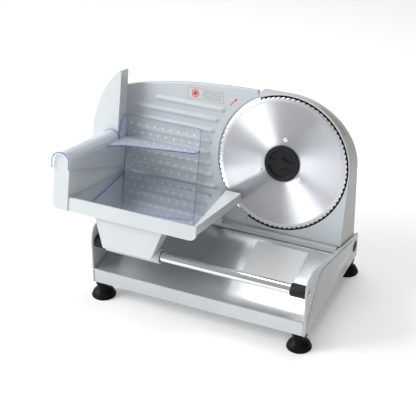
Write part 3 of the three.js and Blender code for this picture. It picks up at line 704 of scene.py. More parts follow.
class Finishes:
    """Every finish on the slicer, each built once."""

    def __init__(self) -> None:
        """Builds the materials."""
        axis = -HEAD.w
        self.paint = PaintedMetal("silver_paint", (0.51, 0.55, 0.58)).build()
        self.carriage = PaintedMetal("carriage_paint", (0.59, 0.625, 0.64), 0.4).build()
        self.cheek = PaintedMetal("cheek_paint", (0.45, 0.465, 0.475), 0.3, coat=0.6).build()
        self.rim = PaintedMetal("rim_paint", (0.50, 0.495, 0.475), 0.45).build()
        self.pan = PaintedMetal("pan_coat", (0.56, 0.585, 0.60), 0.16, 0.68, 0.001, 0.3).build()
        self.tray = DrawnSteel("tray_steel", (0.84, 0.87, 0.92), 0.07, 0.3).build()
        self.blade = TurnedSteel("blade_steel", (0.70, 0.715, 0.745), HEAD.origin, axis, 0.42,
                                 0.95).build()
        self.edge = TurnedSteel("blade_edge_steel", (0.74, 0.75, 0.78), HEAD.origin, axis, 0.38,
                                0.4, 0.2).build()
        self.chrome = DrawnSteel("rod_chrome", (0.84, 0.84, 0.85), 0.07, 0.4, depth=0.0003).build()
        self.zinc = DrawnSteel("zinc_plate", (0.66, 0.62, 0.50), 0.28, 0.2, (3, 1, 1)).build()
        self.screw = DrawnSteel("screw_steel", (0.88, 0.88, 0.88), 0.4, 0.2, (1, 1, 1)).build()
        self.steel = DrawnSteel("plain_steel", (0.45, 0.46, 0.48), 0.35, 0.3).build()
        self.black = Moulding("black_plastic", (0.008, 0.008, 0.010), 0.42, specular=0.25).build()
        # Near-black with little gloss: painted shade for the gap round the blade and inside the blade
        # screws' drives.
        self.pocket = Moulding("painted_shade_black", (0.004, 0.004, 0.005), 0.6, specular=0.1).build()
        self.rubber = Moulding("foot_rubber", (0.003, 0.003, 0.004), 0.45, 0.8, 0.01, 0.1).build()
        self.nylon = Moulding("gear_nylon", (0.68, 0.64, 0.55), 0.5).build()
        self.bronze = DrawnSteel("bush_bronze", (0.52, 0.36, 0.17), 0.4, 0.3, (2, 2, 2)).build()
        self.clear = ClearPlastic("clear_sheet", (0.78, 0.82, 0.92), 0.06, 0.42).build()
        self.clear_edge = ClearPlastic("clear_edge", (0.05, 0.055, 0.34), 0.7, 0.92).build()
        # White and nearly opaque: painted glints for the highlights on the clear spikes.
        self.painted_glint_spike = ClearPlastic("spike_painted_glint", (0.98, 0.99, 1.0), 0.95, 1.0).build()
        self.label = PaintedMetal("label_paper", (0.66, 0.67, 0.67), 0.45, 0.0, 0.002).build()
        self.sticker = PaintedMetal("sticker_paper", (0.55, 0.585, 0.61), 0.35, 0.0, 0.002).build()
        self.label_dull = PaintedMetal("label_strip", (0.36, 0.36, 0.345), 0.35, 0.0, 0.002).build()
        self.red = Moulding("label_red", (0.55, 0.05, 0.07), 0.4).build()
        self.dull_red = Moulding("label_dull_red", (0.36, 0.05, 0.06), 0.45).build()
        self.grey = Moulding("label_grey", (0.10, 0.10, 0.11), 0.5).build()
        self.print_grey = Moulding("label_print", (0.24, 0.24, 0.26), 0.5).build()


def dress(obj: bpy.types.Object, *materials: bpy.types.Material) -> bpy.types.Object:
    """Gives a piece its materials, in slot order."""
    obj.data.materials.clear()
    for material in materials:
        obj.data.materials.append(material)
    return obj


def keep(nodes: Iterable[str], material: bpy.types.Material) -> None:
    """Gives CAD nodes that are shown as they are their material."""
    for name in nodes:
        dress(frame["nodes"][name], material)
        LOG.info("%s keeps its CAD shape in %s", name, material.name)


def mount(obj: bpy.types.Object, body: str, slot: str | None, *nodes: str) -> bpy.types.Object:
    """Fixes a finished piece to its body.

    Args:
        obj: The piece.
        body: The CAD body it moves with.
        slot: The record's material slot, or None for a printed mark; not used.
        *nodes: The CAD nodes it stands for.

    Returns:
        The same object.
    """
    if nodes:
        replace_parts(obj, *nodes)
    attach(obj, body)
    LOG.info("%s: %d faces on %s", obj.name, len(obj.data.polygons), body)
    return obj


def fitted(name: str, mesh: Mesh, material: bpy.types.Material, body: str, slot: str | None,
           *nodes: str, smooth: float = 35.0) -> bpy.types.Object:
    """Makes a piece of one material and fixes it to its body.

    Args:
        name: The piece's name.
        mesh: Its points in metres and its faces.
        material: Its material.
        body: The CAD body it moves with.
        slot: The record's material slot, or None for a printed mark; not used.
        *nodes: The CAD nodes it stands for.
        smooth: Edges sharper than this many degrees stay sharp.

    Returns:
        The new object.
    """
    return mount(dress(new_piece(name, mesh, smooth), material), body, slot, *nodes)


def softened_on(node: str, width: float, body: str, slot: str,
                *materials: bpy.types.Material) -> bpy.types.Object:
    """A rounded copy of a CAD node, dressed and mounted on its body in its place."""
    return dress(mount(softened(node, width), body, slot), *materials)


def slot_faces(obj: bpy.types.Object, slot: int,
               chosen: Callable[[bpy.types.MeshPolygon], bool]) -> None:
    """Gives the faces that a test picks another of the piece's material slots."""
    for face in obj.data.polygons:
        if chosen(face):
            face.material_index = slot


def cap_screw(radius: float, rise: float, shank: float) -> Mesh:
    """A round-headed screw about the origin with a sunk drive, its seat at w = 0."""
    sunk = radius * 0.36
    return lathe(ORIGIN, [
        (0, rise * 0.35), (sunk, rise * 0.35), (sunk * 1.1, rise * 0.92), (radius * 0.62, rise),
        (radius * 0.88, rise * 0.8), (radius, rise * 0.35), (radius, 0), (radius * 0.5, 0),
        (radius * 0.5, -shank), (0, -shank)], 28)


# ---- Base ----

@dataclass
class Base:
    """The sheet-metal base: pan, cheeks, suction feet, guide rod and switch."""

    finishes: Finishes
    width: float = 320.0
    rod_y: float = 12.5
    rod_z: float = 87.8
    rod_radius: float = 7.0
    press: float = 1.1
    button: Flat = (205.0, 50.0)
    label: tuple[float, float, float, float] = (201.0, 278.0, 63.0, 124.0)
    ramp: tuple[float, float, float, float] = (25.0, 49.0, 143.0, 79.5)
    feet: Sequence[str] = ("front_left", "front_right", "rear_left", "rear_right")

    def build(self) -> None:
        """Makes every piece of the base."""
        self.pan()
        self.cheeks()
        self.suction_feet()
        self.rod()
        self.switch()
        keep(("bottom_cover",), self.finishes.steel)
        keep([f"foot_bolt_{name}" for name in self.feet], self.finishes.zinc)
        keep(("switch_body",), self.finishes.black)
        keep(("underside_bumper",), self.finishes.rubber)

    def pan(self) -> None:
        """The folded pan and the blank label on its ramp."""
        softened_on("base_pan", 0.9, "base", "pan_steel", self.finishes.pan)
        x0, x1, y0, y1 = self.label
        start_y, start_z, end_y, end_z = self.ramp
        run = Vector((0, end_y - start_y, end_z - start_z)).normalized()
        place = Place(BASE.at(0, start_y, start_z), BASE.u, run, BASE.u.cross(run))
        low, high = (y0 - start_y) / run.y, (y1 - start_y) / run.y
        sheet = eased([(x0, low, 2), (x1, low, 2), (x1, high, 2), (x0, high, 2)])
        fitted("pan_label", slab(place, sheet, 0.02, 0.16), self.finishes.label, "base", None)

    def panel(self) -> list[Flat]:
        """The outline of the panel pressed into a cheek, behind its diagonal crease."""
        return eased([
            (58, 97.5, 6), (196, 66.5, 8), (203, 61.5, 3), (212, 59, 3), (213, 33, 4), (13, 33, 4),
            (8.5, 42, 3), (17, 56, 8), (31, 71, 8), (47, 92, 6)])

    def cheeks(self) -> None:
        """Both side cheeks with their pressed panels."""
        side = BASE.turned("v", "w", "u")
        for name, face, outwards in (("left", 0.0, -1), ("right", self.width, 1)):
            softened_on(f"{name}_cheek", 0.7, "base", "cheek_paint", self.finishes.cheek)
            low, high = face - outwards * 0.2, face + outwards * self.press
            fitted(f"{name}_cheek_panel", slab(side, self.panel(), low, high, 1.6),
                   self.finishes.cheek, "base", "cheek_paint", smooth=60)

    def suction_feet(self) -> None:
        """The four suction feet, each with a stepped cup."""
        profile = [
            (0, 4), (6, 3.8), (9, 3.2), (12.5, 0.2), (13, 0), (17, 0), (17.5, 0.5), (17.5, 1.4),
            (17.1, 2.0), (16.2, 4.6), (14.6, 7.4), (12.4, 10.0), (10.8, 11.6), (9.6, 13.0),
            (9.2, 14.5), (9.2, 18.6), (9.6, 19.6), (10.6, 20.4), (10.6, 24.6), (10.2, 25.2),
            (2.8, 25.2), (2.8, 14), (0, 14)]
        for name in self.feet:
            low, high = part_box(f"foot_{name}")
            middle = Vector(((low.x + high.x) / 2, (low.y + high.y) / 2, 0))
            place = Place(middle, BASE.u, BASE.v, BASE.w)
            fitted(f"suction_foot_{name}", lathe(place, profile, 72), self.finishes.rubber, "base",
                   "rubber", f"foot_{name}", smooth=40)

    def rod(self) -> None:
        """The chrome guide rod, its end bushes and its screws."""
        axis = Place(BASE.at(0, self.rod_y, self.rod_z), BASE.v, BASE.w, BASE.u)
        start, end = self.ends("guide_rod")
        radius = self.rod_radius
        bar = lathe(axis, [(2.3, start), (radius - 0.5, start), (radius, start + 0.5),
                           (radius, end - 0.5), (radius - 0.5, end), (2.3, end)], 96)
        fitted("chrome_rod", bar, self.finishes.chrome, "base", "chrome", "guide_rod", smooth=40)
        for side in ("left", "right"):
            start, end = self.ends(f"rod_bush_{side}")
            bush = lathe(axis, [
                (7.3, start), (8.7, start), (9, start + 0.3), (9, end - 0.9), (8.8, end - 0.3),
                (8.2, end), (7.3, end)] if side == "left" else [
                (7.3, start), (8.2, start), (8.8, start + 0.3), (9, start + 0.9), (9, end - 0.3),
                (8.7, end), (7.3, end)], 72)
            fitted(f"rod_collar_{side}", bush, self.finishes.black, "base", "black_plastic",
                   f"rod_bush_{side}", smooth=40)
            self.rod_screw(side)

    def ends(self, node: str) -> Flat:
        """Where a CAD node starts and ends across the base."""
        low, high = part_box(node)
        return (low.x - BASE.origin.x) / MM, (high.x - BASE.origin.x) / MM

    def rod_screw(self, side: str) -> None:
        """One of the screws that hold the rod's ends."""
        low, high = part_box(f"rod_screw_{side}")
        outwards = -1 if side == "left" else 1
        seat = low.x + 2 * MM if side == "left" else high.x - 2 * MM
        middle = (low + high) / 2
        right = Vector((0, outwards, 0))
        place = Place(Vector((seat, middle.y, middle.z)), right, Vector((0, 0, 1)),
                      right.cross(Vector((0, 0, 1))))
        screw = new_piece(f"rod_end_screw_{side}", cap_screw(3.6, 2.1, 9.5), 40)
        mount(dress(settled(screw, place), self.finishes.zinc), "base", "zinc", f"rod_screw_{side}")

    def switch(self) -> None:
        """The push button, its bezel and the cord gland."""
        y, z = self.button
        axis = Place(BASE.at(0, y, z), BASE.v, BASE.w, BASE.u)
        out = self.width
        cap = lathe(axis, [
            (0, out - 5.5), (8.8, out - 5.5), (8.8, out - 3.5), (6.8, out - 3.5), (6.8, out + 1.4),
            (6.3, out + 2.0), (5.4, out + 2.2), (4.4, out + 1.9), (0, out + 1.6)], 56)
        fitted("push_button", cap, self.finishes.black, "button", "black_plastic", "power_button",
               smooth=40)
        bezel = lathe(axis, [(7.1, out + 0.3), (8.8, out + 0.3), (8.8, out + 0.9), (8.3, out + 1.5),
                             (7.6, out + 1.6), (7.1, out + 1.3)], 56)
        fitted("push_button_bezel", bezel, self.finishes.black, "base", "black_plastic",
               "button_bezel", smooth=40)
        softened_on("cord_gland", 0.5, "base", "black_plastic", self.finishes.black)


# ---- Head ----

@dataclass
class Head:
    """The leaning head: shell, blade pocket, back cover, drive and guide rail."""

    finishes: Finishes
    radius: float = 98.7
    face: float = -1.0
    back_y: float = 208.0
    back_z: float = 72.0
    back_slope: float = 0.0556
    back_rise: float = 0.96
    pocket: float = 97.2
    shade_band_turn: float = 115.5
    strip: Flat = (33.0, 63.0)
    rim_from: float = -50.0
    screw_drop: float = 30.0
    screw_span: Flat = (122.0, 104.0)

    def build(self) -> None:
        """Makes every piece of the head."""
        shell = softened_on("tower_shell", 0.7, "base", "body_paint", self.finishes.paint,
                            self.finishes.rim)
        slot_faces(shell, 1, self.is_rim)
        softened_on("tower_back_cover", 0.8, "base", "body_paint", self.finishes.paint)
        # Darker cheek paint on the guide rail: partly painted shade for the dark band at the foot of the
        # head.
        softened_on("rear_guide_rail", 0.8, "base", "cheek_paint", self.finishes.cheek)
        self.paint_pocket_shade()
        self.rim_strip()
        self.cover_screws()
        keep(("spindle_bush", "worm_bearing"), self.finishes.bronze)
        keep(("motor_body", "worm_shaft"), self.finishes.steel)

    def is_rim(self, face: bpy.types.MeshPolygon) -> bool:
        """True for the faces of the shell's side band, which is a shade warmer."""
        return abs(face.normal.dot(HEAD.w)) < 0.6 and face.center.x > HEAD.at(self.rim_from, 0, 0).x

    def paint_pocket_shade(self) -> None:
        """Painted shade for the gap round the blade: a near-black band from one side of the shell to the
        other.
        """
        outer = self.pocket - 0.1
        section = [
            (outer - 5.5, self.face - 1.6), (outer - 5.5, self.face - 1.2), (outer - 1.3, self.face - 1.1),
            (outer - 1.1, self.face - 0.3), (outer, self.face - 0.1), (outer, self.face - 1.6)]
        turns = [math.radians(self.shade_band_turn * (k / 60 - 1)) for k in range(121)]
        band = loft([[HEAD.at(r * math.cos(t), r * math.sin(t), w) for r, w in section] for t in turns])
        fitted("painted_shade_pocket_band", band, self.finishes.pocket, "base", "black_plastic", smooth=40)

    def side_point(self, degrees: float, depth: float, proud: float) -> Vector:
        """A point on the head's side band.

        Args:
            degrees: How far round the blade's centre, from the right.
            depth: How far back from the front face, from 0 to 1.
            proud: How far off the surface, in millimetres.

        Returns:
            The point, in metres.
        """
        turn = math.radians(degrees)
        x, s = (self.radius + proud) * math.cos(turn), (self.radius + proud) * math.sin(turn)
        front = HEAD.at(x, s, self.face)
        centre_up = HEAD.origin.z / MM
        up = centre_up + s * self.back_rise
        behind = Vector((front.x, BASE.at(0, self.back_y - self.back_slope * (up - self.back_z), 0).y,
                         up * MM))
        return front.lerp(behind, depth)

    def rim_strip(self) -> None:
        """A blank strip with a thin red edge on the side band."""
        steps = 24
        for name, trim, near, far, proud, material in (
                ("rim_strip_edge", 0.0, 0.28, 0.60, 0.10, self.finishes.red),
                ("rim_strip", 0.4, 0.295, 0.585, 0.16, self.finishes.label_dull)):
            first, last = self.strip[0] + trim, self.strip[1] - trim
            rings = []
            for k in range(steps + 1):
                turn = first + (last - first) * k / steps
                rings.append([self.side_point(turn, near, -0.1), self.side_point(turn, far, -0.1),
                              self.side_point(turn, far, proud), self.side_point(turn, near, proud)])
            fitted(name, loft(rings), material, "base", None, smooth=60)

    def cover_screws(self) -> None:
        """Screws at the back cover's corners."""
        low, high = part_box("tower_back_cover")
        lean = math.atan(self.back_slope)
        right = Vector((-1, 0, 0))
        up = Vector((0, -math.sin(lean), math.cos(lean)))
        middle = Vector(((low.x + high.x) / 2, 0, HEAD.origin.z - self.screw_drop * MM))
        above = middle.z / MM - self.back_z
        middle.y = BASE.at(0, self.back_y - self.back_slope * above - 0.6, 0).y
        screws = new_piece("cover_screws", cap_screw(3.2, 1.7, 5.0), 40)
        wide, tall = self.screw_span
        grown(screws, Rule.GRID, self.finishes.zinc, Columns=2, Rows=2, Pitch=wide, Rise=tall)
        mount(settled(screws, Place(middle, right, up, right.cross(up))), "base", "zinc")


# ---- Blade ----

@dataclass
class Blade:
    """The serrated disc blade, its screws, its lock and the drive behind it."""

    finishes: Finishes
    radius: float = 95.0
    bevel: float = 88.5
    teeth: int = 80
    tooth_depth: float = 2.1
    screw_circle: float = 35.0
    screw_turn: float = 86.6

    def build(self) -> None:
        """Makes every piece that turns with the blade."""
        self.disc()
        self.screws()
        softened_on("blade_lock", 0.55, "blade_lock", "black_plastic", self.finishes.black)
        keep(("drive_flange",), self.finishes.black)
        keep(("blade_spindle",), self.finishes.steel)
        keep(("blade_gear",), self.finishes.nylon)

    def disc(self) -> None:
        """The dished disc: a flat bevel with rounded teeth, and a pressed seat."""
        dish = [(self.bevel - 0.5 - k * 9.8, -0.05 - k * 0.25) for k in range(6)]
        profile = [
            (self.radius, -0.95), (94.2, -0.72), (93, -0.55), (91, -0.28), (self.bevel, 0.0), *dish,
            (33, -1.5), (26.5, -1.65), (26.0, -1.9), (25.9, -4.5), (6.3, -4.5), (6.3, -6),
            (28.3, -6), (30.4, -3.1), (92, -1.45), (94.2, -1.35), (self.radius, -1.2)]
        disc = new_piece("serrated_blade", lathe(ORIGIN, profile, self.teeth * 8), 30)
        grown(disc, Rule.SCALLOPS, self.finishes.blade, Count=self.teeth, Rim=self.radius,
              Band=3.2, Depth=self.tooth_depth)
        disc.data.materials.append(self.finishes.edge)
        slot_faces(disc, 1, lambda face: face.center.xy.length > self.bevel and face.center.z > -1.2)
        mount(settled(disc, HEAD), "blade", "blade_steel", "blade")

    def screws(self) -> None:
        """The three flat screws round the hub."""
        head = lathe(ORIGIN, [
            (0, -0.9), (0.95, -0.9), (1.05, -0.15), (1.3, 0.0), (2.5, 0.0), (2.95, -0.35), (3, -1.2),
            (1.5, -1.2), (1.5, -7.5), (0, -7.5)], 32)
        screws = new_piece("blade_screws", head, 40)
        grown(screws, Rule.RING, self.finishes.screw, Count=3, Radius=self.screw_circle,
              First=math.radians(self.screw_turn))
        # The drive sockets take the near-black finish: painted shade inside the recess.
        screws.data.materials.append(self.finishes.pocket)
        slot_faces(screws, 1, lambda face: -1.0 < face.center.z < -0.3 and self.in_socket(face))
        mount(settled(screws, HEAD), "blade", "zinc", *(f"blade_screw_{n}" for n in (1, 2, 3)))

    def in_socket(self, face: bpy.types.MeshPolygon) -> bool:
        """True for the faces inside a screw's drive socket."""
        return abs(face.center.xy.length - self.screw_circle) < 1.1 and face.normal.z > -0.1


# ---- Gauge plate ----

@dataclass
class Gauge:
    """The ribbed gauge plate, its housing and the thickness knob."""

    finishes: Finishes
    left: float = -255.0
    bottom: float = -62.0
    right: float = -47.5
    right_top: float = 97.5
    left_top: float = 68.5
    cut: float = 97.5
    face: float = -3.7
    rim: float = -12.0
    back: float = -6.7
    columns: int = 132
    rows: int = 148
    rib_pitch: float = 16.5
    rib_top: float = 59.0
    sticker: Flat = (-125.0, 76.0)
    sticker_half: Flat = (27.5, 8.0)
    arrow_radius: float = 110.0
    arrow_from: float = 142.0
    crown: tuple[Flat, Flat] = ((-195.0, 19.0), (-120.0, 94.5))
    knob: tuple[float, float, float] = (-158.0, -32.0, -34.0)

    def build(self) -> None:
        """Makes the plate, its printed marks, the housing and the knob."""
        self.plate()
        self.marks()
        softened_on("gauge_housing", 0.8, "base", "body_paint", self.finishes.paint)
        softened_on("thickness_knob", 0.7, "knob", "black_plastic", self.finishes.black)
        self.dial()
        keep(("guide_bar_left", "guide_bar_right"), self.finishes.chrome)
        keep(("gauge_bush_left", "gauge_bush_right"), self.finishes.bronze)
        keep(("adjust_rod",), self.finishes.zinc)

    def side(self, which: str, t: float, inset: float) -> Vector:
        """A point on one side of the plate's outline, drawn in by an inset.

        Args:
            which: bottom, top, left or right.
            t: How far along the side, from left to right or from bottom to top.
            inset: How far inside the outline, in millimetres.

        Returns:
            The point, as x and s.
        """
        left, low = self.left + inset, self.bottom + inset
        end = Vector((self.right - inset, self.right_top - inset - 1.5))
        if which == "left":
            return Vector((left, low + (self.left_top - inset - low) * t))
        if which == "top":
            (first, rise), (second, height) = self.crown
            a = Vector((left, self.left_top - inset))
            b = Vector((first, self.left_top + rise - inset))
            c = Vector((second, height - inset))
            return a * (1 - t) ** 3 + b * 3 * t * (1 - t) ** 2 + c * 3 * t * t * (1 - t) + end * t ** 3
        cut = self.cut + inset
        if which == "bottom":
            return Vector((left + (-math.sqrt(cut ** 2 - low ** 2) - left) * t, low))
        corner = math.sqrt(cut ** 2 - (self.right + 3 - inset) ** 2)
        s = low + (end.y - low) * t
        if s > corner:
            return Vector((self.right + 3 - inset, corner)).lerp(end, (s - corner) / (end.y - corner))
        return Vector((-math.sqrt(cut ** 2 - s ** 2), s))

    def sheet(self, inset: float) -> list[list[Vector]]:
        """Rows of points that fill the outline, drawn in by an inset."""
        us = [k / self.columns for k in range(self.columns + 1)]
        vs = [k / self.rows for k in range(self.rows + 1)]
        bottom, top = ([self.side(name, u, inset) for u in us] for name in ("bottom", "top"))
        left, right = ([self.side(name, v, inset) for v in vs] for name in ("left", "right"))
        grid = []
        for j, v in enumerate(vs):
            row = []
            for i, u in enumerate(us):
                corners = ((bottom[0] * (1 - u) + bottom[-1] * u) * (1 - v)
                           + (top[0] * (1 - u) + top[-1] * u) * v)
                row.append(bottom[i] * (1 - v) + top[i] * v + left[j] * (1 - u) + right[j] * u - corners)
            grid.append(row)
        return grid

    def plate(self) -> None:
        """The pressed plate with its folded rim and rounded ribs."""
        wide, tall = self.columns + 1, self.rows + 1
        edge = [(0, i) for i in range(wide)] + [(j, wide - 1) for j in range(1, tall)]
        edge += [(tall - 1, i) for i in range(wide - 2, -1, -1)]
        edge += [(j, 0) for j in range(tall - 2, 0, -1)]
        points: list[Vector] = []
        faces: list[tuple[int, ...]] = []

        def lay(inset: float, w: float) -> int:
            """Adds a filled sheet and returns its first point's number."""
            start = len(points)
            points.extend(ORIGIN.at(p.x, p.y, w) for row in self.sheet(inset) for p in row)
            faces.extend((start + j * wide + i, start + j * wide + i + 1, start + (j + 1) * wide + i + 1,
                          start + (j + 1) * wide + i) for j in range(tall - 1) for i in range(wide - 1))
            return start

        def loop(inset: float, w: float) -> list[int]:
            """Adds a ring of points along the outline and returns their numbers."""
            grid = self.sheet(inset)
            start = len(points)
            points.extend(ORIGIN.at(grid[j][i].x, grid[j][i].y, w) for j, i in edge)
            return list(range(start, start + len(edge)))

        front, behind = lay(1.4, self.face), lay(2.5, self.back)
        rings = [[front + j * wide + i for j, i in edge]]
        rings += [loop(0.7, self.face - 0.2), loop(0.2, self.face - 0.7), loop(0, self.face - 1.4),
                  loop(0, self.rim + 0.3), loop(0.3, self.rim), loop(2.2, self.rim),
                  loop(2.5, self.rim + 0.3)]
        rings.append([behind + j * wide + i for j, i in edge])
        for a, b in zip(rings, rings[1:]):
            faces += [(a[k], a[(k + 1) % len(a)], b[(k + 1) % len(a)], b[k]) for k in range(len(a))]
        plate = new_piece("ribbed_gauge_plate", (points, faces), 60)
        grown(plate, Rule.RIBS, self.finishes.paint, Count=8, Pitch=self.rib_pitch, Top=self.rib_top,
              Sheet=self.face - 0.05)
        mount(settled(plate, HEAD), "gauge", "body_paint", "gauge_plate")

    def marks(self) -> None:
        """A blank sticker with a plain ring on it, and an arrow for the way the blade turns."""
        face = HEAD.moved(0, 0, self.face)
        place = face.moved(*self.sticker, 0)
        half, tall = self.sticker_half
        edge = slab(place, self.block(half, tall), 0.02, 0.10)
        paper = slab(place, self.block(half - 0.5, tall - 0.5), 0.04, 0.14)
        fitted("sticker_edge", edge, self.finishes.red, "gauge", None)
        fitted("sticker", paper, self.finishes.sticker, "gauge", None)
        spot = place.moved(-16.0, 0, 0)
        ring = lathe(spot, [(4.5, 0.1), (5.9, 0.1), (5.9, 0.2), (4.5, 0.2)], 40)
        fitted("sticker_ring", ring, self.finishes.red, "gauge", None)
        disc = lathe(spot, [(0, 0.1), (3.3, 0.1), (3.3, 0.2), (0, 0.2)], 32)
        fitted("sticker_spot", disc, self.finishes.dull_red, "gauge", None)
        bar = new_piece("sticker_bars", slab(ORIGIN, self.block(15.0, 0.55), 0.1, 0.2))
        grown(bar, Rule.GRID, self.finishes.print_grey, Columns=1, Rows=4, Rise=3.1)
        mount(settled(bar, place.moved(9.5, 0, 0)), "gauge", None)
        self.arrow(face)

    def block(self, half: float, tall: float) -> list[Flat]:
        """A rectangle about the origin, from its half width and half height."""
        return [(-half, -tall), (half, -tall), (half, tall), (-half, tall)]

    def arrow(self, face: Place) -> None:
        """The printed arrow that follows the blade's rim."""
        radius, half, step = self.arrow_radius, 0.7, 0.7
        turns = [math.radians(self.arrow_from - k * step) for k in range(9)]
        arc = [((radius + half) * math.cos(t), (radius + half) * math.sin(t)) for t in turns]
        arc += [((radius - half) * math.cos(t), (radius - half) * math.sin(t)) for t in reversed(turns)]
        shaft = slab(face, arc, 0.02, 0.12)
        tip = [(reach * math.cos(turn), reach * math.sin(turn)) for reach, turn in (
            (radius + 2.2, turns[-1]), (radius - 2.2, turns[-1]), (radius + 0.4, turns[-1] - 0.045))]
        fitted("turn_arrow", joined(shaft, slab(face, tip, 0.02, 0.12)), self.finishes.red, "gauge",
               None)

    def dial(self) -> None:
        """Tick marks round the knob on the housing's upright."""
        x, s, d = self.knob
        place = Place(HEAD.at(x, s, d + 1.0), -HEAD.u, HEAD.v, -HEAD.w)
        tick = new_piece("dial_ticks", slab(ORIGIN, self.block(1.2, 0.35), -0.1, 0.2))
        grown(tick, Rule.RING, self.finishes.grey, Count=16, Radius=20.2)
        mount(settled(tick, place), "base", None)


# ---- Food carriage ----

@dataclass
class Carriage:
    """The food carriage: its casting, the steel tray, the leg and the rear shoe."""

    finishes: Finishes

    def build(self) -> None:
        """Makes every piece that slides along the rod."""
        softened_on("carriage_frame", 1.0, "carriage", "body_paint", self.finishes.carriage)
        softened_on("food_tray", 0.3, "carriage", "stainless", self.finishes.tray)
        softened_on("carriage_leg", 0.9, "carriage", "body_paint", self.finishes.carriage)
        softened_on("rear_slider", 0.6, "carriage", "body_paint", self.finishes.carriage)
        keep(("leg_bush_left", "leg_bush_right"), self.finishes.black)


@dataclass
class Pusher:
    """The clear pusher: saddle handle, side panel, spiked face and web."""

    finishes: Finishes
    ridge: float = -253.75
    shoulder: float = -5.0
    inner: float = 12.15
    sheet: float = 2.0
    front: float = 174.0
    arch_back: float = 30.0
    arch_bottom: float = -15.0
    right: float = -123.0
    top: float = 28.0
    bottom: float = -55.0
    spike_pitch: float = 12.6
    face: Flat = (4.2, 6.4)
    web_height: Flat = (4.0, 6.0)
    gap: float = 0.03

    def build(self) -> None:
        """Makes the pusher's sheets and its spikes."""
        side_x = self.ridge + self.inner
        parts = [self.arch(), self.side_panel(side_x), self.face_panel(side_x), self.web(side_x)]
        shell = new_piece("clear_pusher", joined(*parts), 30)
        rounded(shell, 0.28, 2)
        dress(shell, self.finishes.clear, self.finishes.clear_edge)
        slot_faces(shell, 1, self.is_edge)
        mount(shell, "pusher", "clear_plastic", "pusher")
        cone = new_piece("pusher_spikes", lathe(ORIGIN, [
            (0, 0), (1.5, 0), (1.35, 0.4), (0.75, 1.7), (0.3, 2.6), (0, 2.8)], 16), 60)
        # The spikes are white and nearly opaque: painted glints for the highlights on the clear spikes.
        grown(cone, Rule.GRID, self.finishes.painted_glint_spike, Columns=9, Rows=6, Pitch=self.spike_pitch,
              Rise=self.spike_pitch, Stagger=self.spike_pitch / 2)
        middle = (side_x + self.sheet + self.right) / 2
        back = Place(HEAD.at(middle + 3, -15, self.face[0] - 0.05), -HEAD.u, HEAD.v, -HEAD.w)
        mount(settled(cone, back), "pusher", "clear_plastic")

    def is_edge(self, face: bpy.types.MeshPolygon) -> bool:
        """True for the narrow faces along a sheet's cut edges."""
        x, s, d = (face.normal.dot(axis) for axis in (HEAD.u, HEAD.v, HEAD.w))
        place = (face.center - HEAD.origin) / MM
        at_x, at_s, at_d = (place.dot(axis) for axis in (HEAD.u, HEAD.v, HEAD.w))
        wall = self.ridge + self.inner
        over_wall = at_s > self.arch_bottom - 5 and at_d > self.arch_back
        if at_x < wall - 0.1 or (at_x < wall + self.sheet + 0.1 and over_wall):
            return abs(d) > 0.5 or (s < -0.7 and at_s < self.arch_bottom + 0.5)
        if at_d < self.face[1] + 0.05:
            return abs(d) < 0.5
        if at_x < wall + self.sheet + 0.05:
            return abs(x) < 0.5
        return abs(s) < 0.5

    def arch(self) -> Mesh:
        """The half-round handle that sits over the wall's ridge."""
        outer = self.inner + self.sheet
        turns = [math.pi * k / 28 for k in range(29)]
        section = [(self.ridge + outer * math.cos(t), self.shoulder + outer * math.sin(t)) for t in turns]
        section.append((self.ridge - outer, self.arch_bottom))
        section.append((self.ridge - self.inner, self.arch_bottom))
        section += [(self.ridge + self.inner * math.cos(t), self.shoulder + self.inner * math.sin(t))
                    for t in reversed(turns)]
        return slab(HEAD, section, self.arch_back, self.front)

    def side_panel(self, x: float) -> Mesh:
        """The panel down the wall's inner side, with its hook at the back."""
        low = self.shoulder - self.gap
        outline = eased([
            (self.front, low), (self.front, self.arch_bottom),
            (self.face[1] + self.gap, self.bottom + 4.5), (self.face[1] + self.gap, self.top),
            (22, self.top, 6), (self.arch_back - self.gap, 8, 8),
            (self.arch_back - self.gap, self.shoulder + 0.5), (self.arch_back, low)])
        side = Place(HEAD.origin, HEAD.w, HEAD.v, -HEAD.u)
        return slab(side, outline, -x - self.sheet, -x)

    def face_panel(self, x: float) -> Mesh:
        """The upright panel that presses the food."""
        outline = eased([(x, self.bottom), (self.right, self.bottom, 2), (self.right, self.top, 6),
                         (x, self.top, 2)])
        return slab(HEAD, outline, *self.face)

    def web(self, x: float) -> Mesh:
        """The level web that stiffens the face."""
        start = x + self.sheet + self.gap
        back = self.face[1] + self.gap
        outline = eased([(start, 70), (start + 22, 50, 6), (self.right, 21, 3), (self.right, back),
                         (start, back)])
        level = Place(HEAD.origin, HEAD.u, HEAD.w, -HEAD.v)
        return slab(level, outline, *self.web_height)


# ---- Studio ----

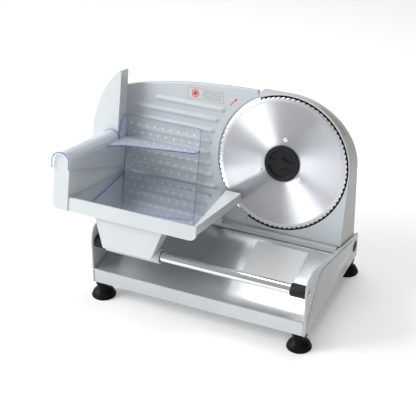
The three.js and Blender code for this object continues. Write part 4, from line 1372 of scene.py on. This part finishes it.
@dataclass
class Studio:
    """A pale floor, soft lights and the camera."""

    lens: float = 100.46
    azimuth: float = 24.35
    elevation: float = 30.66
    distance: float = 1.6323
    aim: Colour = (0.00499, -0.00493, 0.12546)
    slope: Colour = (-0.26, -0.02, 0.14)
    level: float = 0.37
    glow: float = 0.2
    boxes: Sequence[tuple[str, Colour, float, float, float]] = (
        ("key", (-1.5, -0.9, 1.1), 40.0, 1.1, 1.1),
        ("front", (0.9, -1.7, 0.35), 4.0, 0.25, 0.9),
        ("top", (0.0, 0.5, 1.8), 16.0, 1.0, 1.0))

    def build(self) -> None:
        """Sets the stage."""
        self.floor()
        self.surround()
        self.lights()
        self.camera()
        bpy.context.scene.view_settings.view_transform = "Standard"

    def floor(self) -> None:
        """A wide pale floor."""
        half = 4.0
        corners = [Vector((-half, -half, 0)), Vector((half, -half, 0)), Vector((half, half, 0)),
                   Vector((-half, half, 0))]
        floor = new_piece("studio_floor", (corners, [(0, 1, 2, 3)]))
        made = Shader("studio_paper", Roughness=0.9, Emission_Color=(1, 1, 1), Emission_Strength=self.glow)
        made.feed("Base Color", made.mix(made.noise(60, 2), (0.81, 0.81, 0.81), (0.82, 0.82, 0.82)))
        dress(floor, made.material)

    def surround(self) -> None:
        """A room that looks white and lights the slicer more from the left and above."""
        world = bpy.data.worlds.new("surround")
        world.use_nodes = True
        made = NodeMaker(world.node_tree)
        seen = made.nodes["Background"]
        seen.inputs[0].default_value = (1, 1, 1, 1)
        way = made.node("ShaderNodeTexCoord").outputs["Generated"]
        slope = made.node("ShaderNodeVectorMath", {0: way, 1: self.slope}, operation="DOT_PRODUCT")
        cast = made.node("ShaderNodeBackground", {
            1: made.math("ADD", slope.outputs["Value"], self.level)})
        mixed = made.node("ShaderNodeMixShader", {
            0: made.node("ShaderNodeLightPath").outputs["Is Camera Ray"],
            1: cast.outputs[0], 2: seen.outputs[0]})
        made.links.new(mixed.outputs[0], made.nodes["World Output"].inputs[0])
        bpy.context.scene.world = world

    def lights(self) -> None:
        """The soft boxes."""
        for name, place, power, wide, tall in self.boxes:
            lamp = bpy.data.lights.new(name, "AREA")
            lamp.shape = "RECTANGLE"
            lamp.energy = power
            lamp.size = wide
            lamp.size_y = tall
            obj = bpy.data.objects.new(name, lamp)
            obj.location = place
            towards = Vector((0, 0, 0.12)) - obj.location
            obj.rotation_mode = "QUATERNION"
            obj.rotation_quaternion = towards.to_track_quat("-Z", "Y")
            bpy.context.scene.collection.objects.link(obj)

    def camera(self) -> None:
        """The camera, a little above and to the right of the operator."""
        data = bpy.data.cameras.new("camera")
        data.lens = self.lens
        data.sensor_width = 36
        camera = bpy.data.objects.new("camera", data)
        turn, rise = math.radians(self.azimuth), math.radians(self.elevation)
        back = Vector((math.sin(turn) * math.cos(rise), -math.cos(turn) * math.cos(rise),
                       math.sin(rise)))
        camera.location = Vector(self.aim) + back * self.distance
        camera.rotation_mode = "QUATERNION"
        camera.rotation_quaternion = back.to_track_quat("Z", "Y")
        bpy.context.scene.collection.objects.link(camera)
        bpy.context.scene.camera = camera


def main() -> None:
    """Builds the slicer and its stage."""
    logging.basicConfig(level=logging.INFO, format="%(name)s: %(message)s")
    Studio().build()
    finishes = Finishes()
    for unit in (Base, Head, Blade, Gauge, Carriage, Pusher):
        unit(finishes).build()
        LOG.info("%s is done", unit.__name__)


if __name__ == "__main__":
    main()
